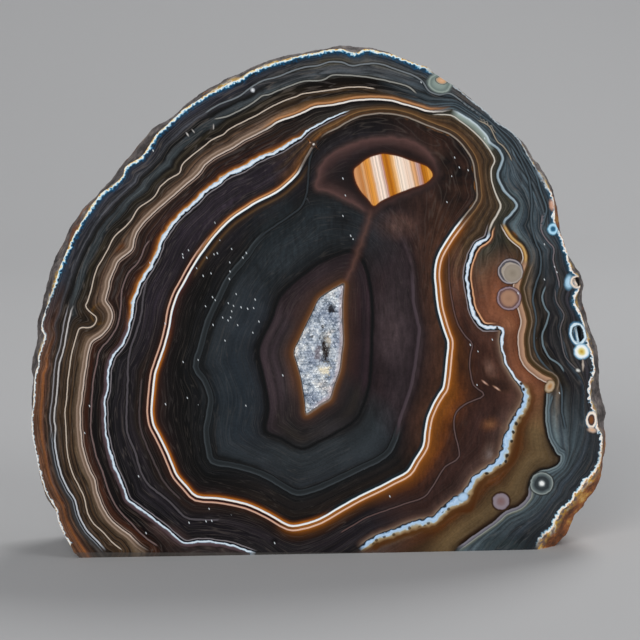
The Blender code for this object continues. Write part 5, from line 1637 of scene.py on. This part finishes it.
for material in (polish, rind, sawn):
    stone.data.materials.append(material)
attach(stone, "root")
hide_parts("agate_slice")
print("stone finished")

# The crystals in the hollow
drusyQuartz = {
    "gap": 0.12 * mm,  # to the wall of the hollow
    "edgeDepth": 0.6 * mm,
    "spacing": 0.6 * mm,
    "tipDepth": (0.15 * mm, 0.55 * mm),
    "relief": 0.3 * mm,
    "cavityPx": [(325, 337), (326, 345), (327, 352), (325, 360)],
    "cavityReach": 0.75 * mm,
    "cavityDepth": 1.4 * mm,
    "cloud": 0.91 * mm,  # from one milky fleck to the next
    "tone": 3.03 * mm,  # broader warm and cool parts
    "roughness": 0.22,
    "ior": 1.544,
}
# what colours the crust: middle and radii in pixels, colour, how much it covers. The first, dark oval lies
# over the cavity and is painted shade; the others are stains
quartzStainsAndShade = [
    ((326, 349), (4.5, 15), "#2e2622", 1.0), ((318, 354), (5.5, 9), "#857d84", 0.8),
    ((325, 370), (7, 6), "#f0e6cc", 0.85), ((329, 342), (4, 5), "#e8dcc8", 0.7),
    ((331, 309), (6, 4.2), "#1c1a1e", 0.95), ((323, 326.5), (2.2, 2.6), "#141010", 0.9),
    ((312.5, 337), (2.4, 2), "#141010", 0.9), ((343, 322), (5, 3), "#8a94a0", 0.6),
    ((335, 385), (4, 3), "#6f7884", 0.6)]


def buildCrystals():
    rng = np.random.default_rng(5)
    mouth = np.array([placed(p) for p in curveThrough(bandLines["hollow"], closed=True, steps=3)]) / mm
    middle = mouth.mean(axis=0)

    def wall(depth, gap):
        taper = stoneShape["hollowTaper"] * depth / stoneShape["hollowDepth"]
        ring = middle + (mouth - middle) * (1 - taper)
        along = np.roll(ring, -1, axis=0) - np.roll(ring, 1, axis=0)
        across = np.stack([-along[:, 1], along[:, 0]], axis=1) / np.hypot(*along.T)[:, None]
        across *= np.where(((middle - ring) * across).sum(axis=1) < 0, -1, 1)[:, None]
        return ring + across * gap / mm

    rim = wall(drusyQuartz["edgeDepth"], drusyQuartz["gap"])
    bottomDepth = stoneShape["hollowDepth"] - 0.3 * mm
    bottom = wall(bottomDepth, 0.3 * mm)
    step = drusyQuartz["spacing"] / mm
    sites = hexGrid(rim.min(axis=0), rim.max(axis=0), step, 0.3, 9)
    sites = sites[isInside(sites, rim) & (np.abs(lineField(sites, rim, closed=True)[0]) > step * 0.42)]
    spots, triangles = fillFlat(rim, sites)
    cavity = np.array([placed(p) for p in drusyQuartz["cavityPx"]]) / mm
    hollowed = np.abs(lineField(spots, cavity)[0])
    toEdge = np.abs(lineField(spots, rim, closed=True)[0])
    # the lower right side is smooth and pale
    onRight = np.clip(((spots - middle) @ np.array([0.98, -0.2])) / 2.0, 0, 1)
    smooth = np.clip(1.5 - toEdge / 0.55, 0, 1) * onRight
    bm = bmesh.new()
    # how near each point lies to a crystal's tip, which sets the painted shade between the crystals
    tipShadeLayer = bm.verts.layers.float.new("tip")
    even = bm.verts.layers.float.new("smooth")
    tips = []
    for number, spot in enumerate(spots):
        depth = drusyQuartz["edgeDepth"]
        lean = np.zeros(2)
        if number >= len(rim):
            depth = rng.uniform(*drusyQuartz["tipDepth"])
            depth += (0.35 - depth / mm) * mm * smooth[number]
            lean = rng.uniform(-0.16, 0.16, 2)
            reach = hollowed[number] * mm / drusyQuartz["cavityReach"]
            depth += drusyQuartz["cavityDepth"] * max(0, 1 - reach ** 2)
        vert = bm.verts.new(((spot[0] + lean[0]) * mm, faceY + depth, (spot[1] + lean[1]) * mm))
        vert[tipShadeLayer] = 1
        vert[even] = smooth[number]
        tips.append(vert)
    beside = {}
    for triangle in triangles:
        foot = sum((tips[i].co for i in triangle), Vector()) / 3
        flat = float(np.mean([smooth[i] for i in triangle]))
        foot.y += drusyQuartz["relief"] * rng.uniform(0.5, 1.3) * (1 - 0.8 * flat)
        vert = bm.verts.new(foot)
        vert[even] = flat
        vert[tipShadeLayer] = flat
        for a, b in zip(triangle, (*triangle[1:], triangle[0])):
            beside.setdefault((min(a, b), max(a, b)), []).append(vert)
    for (a, b), near in beside.items():
        if len(near) == 2:
            bm.faces.new((tips[a], near[0], near[1]))
            bm.faces.new((tips[b], near[1], near[0]))
        else:
            bm.faces.new((tips[a], tips[b], near[0]))
    low = [bm.verts.new((p[0] * mm, faceY + bottomDepth, p[1] * mm)) for p in bottom]
    for i in range(len(rim)):
        j = (i + 1) % len(rim)
        bm.faces.new((tips[i], tips[j], low[j], low[i]))
    bm.faces.new(low)
    bmesh.ops.recalc_face_normals(bm, faces=bm.faces)
    if bm.calc_volume(signed=True) < 0:
        bmesh.ops.reverse_faces(bm, faces=bm.faces)
    mesh = bpy.data.meshes.new("quartz_crystals")
    bm.to_mesh(mesh)
    bm.free()
    crystals = bpy.data.objects.new("quartz_crystals", mesh)
    scene.collection.objects.link(crystals)
    return crystals


crystals = buildCrystals()

# Drusy quartz: grown crystal faces, glass clear at the tips, milky and stained, with painted shade in the
# crevices between the crystals and over the cavity, and the tips painted lighter
quartz, tree, shader = newMaterial("drusyQuartz")
place = addNode(tree, "TexCoord").outputs["Object"]
cloud = addNode(
    tree, "TexNoise",
    {"Vector": place, "Scale": 1 / drusyQuartz["cloud"], "Detail": 3.0, "Roughness": 0.65})
milk = addNode(
    tree, "ValToRGB", [cloud],
    [(0.30, "#66717d"), (0.39, "#929ca8"), (0.46, "#b6bfca"), (0.53, "#d0d6dd"), (0.61, "#eaeef1"),
        (0.70, "#ffffff")])
broad = addNode(tree, "TexNoise", {"Vector": place, "Scale": 1 / drusyQuartz["tone"], "Detail": 2.0})
broad = addNode(
    tree, "ValToRGB", [broad],
    [(0.35, "#b9c0cc"), (0.48, "#dfe3e8"), (0.56, "#f8f8f6"), (0.64, "#f8f0e8"), (0.75, "#f0e2d6")])
milk = addNode(tree, "Mix", {0: 1.0, 6: milk, 7: broad}, data_type="RGBA", blend_type="MULTIPLY")
milk = milk.outputs[2]
tip = addNode(tree, "Attribute", attribute_name="tip").outputs["Fac"]
# painted shade: darker in the crevices between the crystals, lighter at their tips
creviceShade = addNode(tree, "MapRange", {"Value": tip, "From Max": 0.5, "To Min": 0.85, "To Max": 1.15})
milk = addNode(tree, "HueSaturation", {"Color": milk, "Value": creviceShade})
even = addNode(tree, "Attribute", attribute_name="smooth").outputs["Fac"]
milk = addNode(tree, "Mix", {0: even, 6: milk, 7: linear("#c4b9be")}, data_type="RGBA").outputs[2]
ragged = addNode(tree, "Math", [cloud, 2.8, -1.4], operation="MULTIPLY_ADD")
# the first oval paints shade over the cavity, the others lay stains
for centre, radii, stain, cover in quartzStainsAndShade:
    x, z = placed(centre)
    across = addNode(tree, "VectorMath", [place, (-x, 0, -z)], operation="ADD")
    across = addNode(
        tree, "VectorMath",
        [across, (pxPerMm / mm / radii[0], 0, pxPerMm / mm / radii[1])],
        operation="MULTIPLY")
    away = addNode(tree, "VectorMath", [across], operation="LENGTH").outputs["Value"]
    away = addNode(tree, "Math", [away, ragged], operation="ADD")
    covered = addNode(
        tree, "MapRange",
        {"Value": away, "From Min": 0.45, "From Max": 1.05, "To Min": cover, "To Max": 0.0})
    milk = addNode(tree, "Mix", {0: covered, 6: milk, 7: linear(stain)}, data_type="RGBA").outputs[2]
wire(tree, milk, shader.inputs["Base Color"])
shader.inputs["Roughness"].default_value = drusyQuartz["roughness"]
shader.inputs["IOR"].default_value = drusyQuartz["ior"]
crystals.data.materials.append(quartz)
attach(crystals, "root")
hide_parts("quartz_druse")
print("crystals grown")

# Floor and light
studio = {
    "halfWidth": 2.5,
    "frontEdge": -2.0,
    "bendStart": 0.55,  # behind the stone the floor rises in a soft bend, so no edge of it shows
    "bendRadius": 0.9,
    "height": 1.6,
    "floor": "#b9b9b9",
    "keyWatts": 26, "keySize": 1.3, "keyAt": (-0.7, -1.7, 0.75),
    "fillWatts": 9, "fillSize": 1.0, "fillAt": (1.3, -1.2, 0.7),
    "backWatts": 5, "backSize": 0.5, "backAt": (0.35, 0.5, 0.9),
    "sky": "#9a9ca2",
    "skyStrength": 0.55,
}

section = [(studio["frontEdge"], 0.0)]
for step in range(25):
    turn = math.radians(90 * step / 24)
    rise = studio["bendRadius"] * (1 - math.cos(turn))
    section.append((studio["bendStart"] + studio["bendRadius"] * math.sin(turn), rise))
section.append((section[-1][0], studio["height"]))
floorMesh = bpy.data.meshes.new("studio_floor")
corners = [(side * studio["halfWidth"], y, z) for y, z in section for side in (-1, 1)]
floorMesh.from_pydata(corners, [], [(i, i + 1, i + 3, i + 2) for i in range(0, len(corners) - 2, 2)])
floorMesh.shade_smooth()
floor = bpy.data.objects.new("studio_floor", floorMesh)
scene.collection.objects.link(floor)
# Painted board, rolled on and left matt: it takes a soft shadow and mirrors almost nothing
floorMaterial, tree, shader = newMaterial("mattPaintedBoard")
shader.inputs["Base Color"].default_value = linear(studio["floor"])
shader.inputs["Roughness"].default_value = 0.8
shader.inputs["Specular IOR Level"].default_value = 0.2
floorMesh.materials.append(floorMaterial)

for name in ("key", "fill", "back"):
    data = bpy.data.lights.new(name, "AREA")
    data.shape = "DISK"
    data.size = studio[name + "Size"]
    data.energy = studio[name + "Watts"]
    light = bpy.data.objects.new(name, data)
    scene.collection.objects.link(light)
    light.location = studio[name + "At"]
    aim = Vector((0, 0, 0.05)) - light.location
    light.rotation_euler = aim.to_track_quat("-Z", "Y").to_euler()

world = bpy.data.worlds.new("studio")
world.use_nodes = True
background = world.node_tree.nodes["Background"]
background.inputs[0].default_value = linear(studio["sky"])
background.inputs[1].default_value = studio["skyStrength"]
scene.world = world
scene.view_settings.view_transform = "Standard"
print("studio lit")
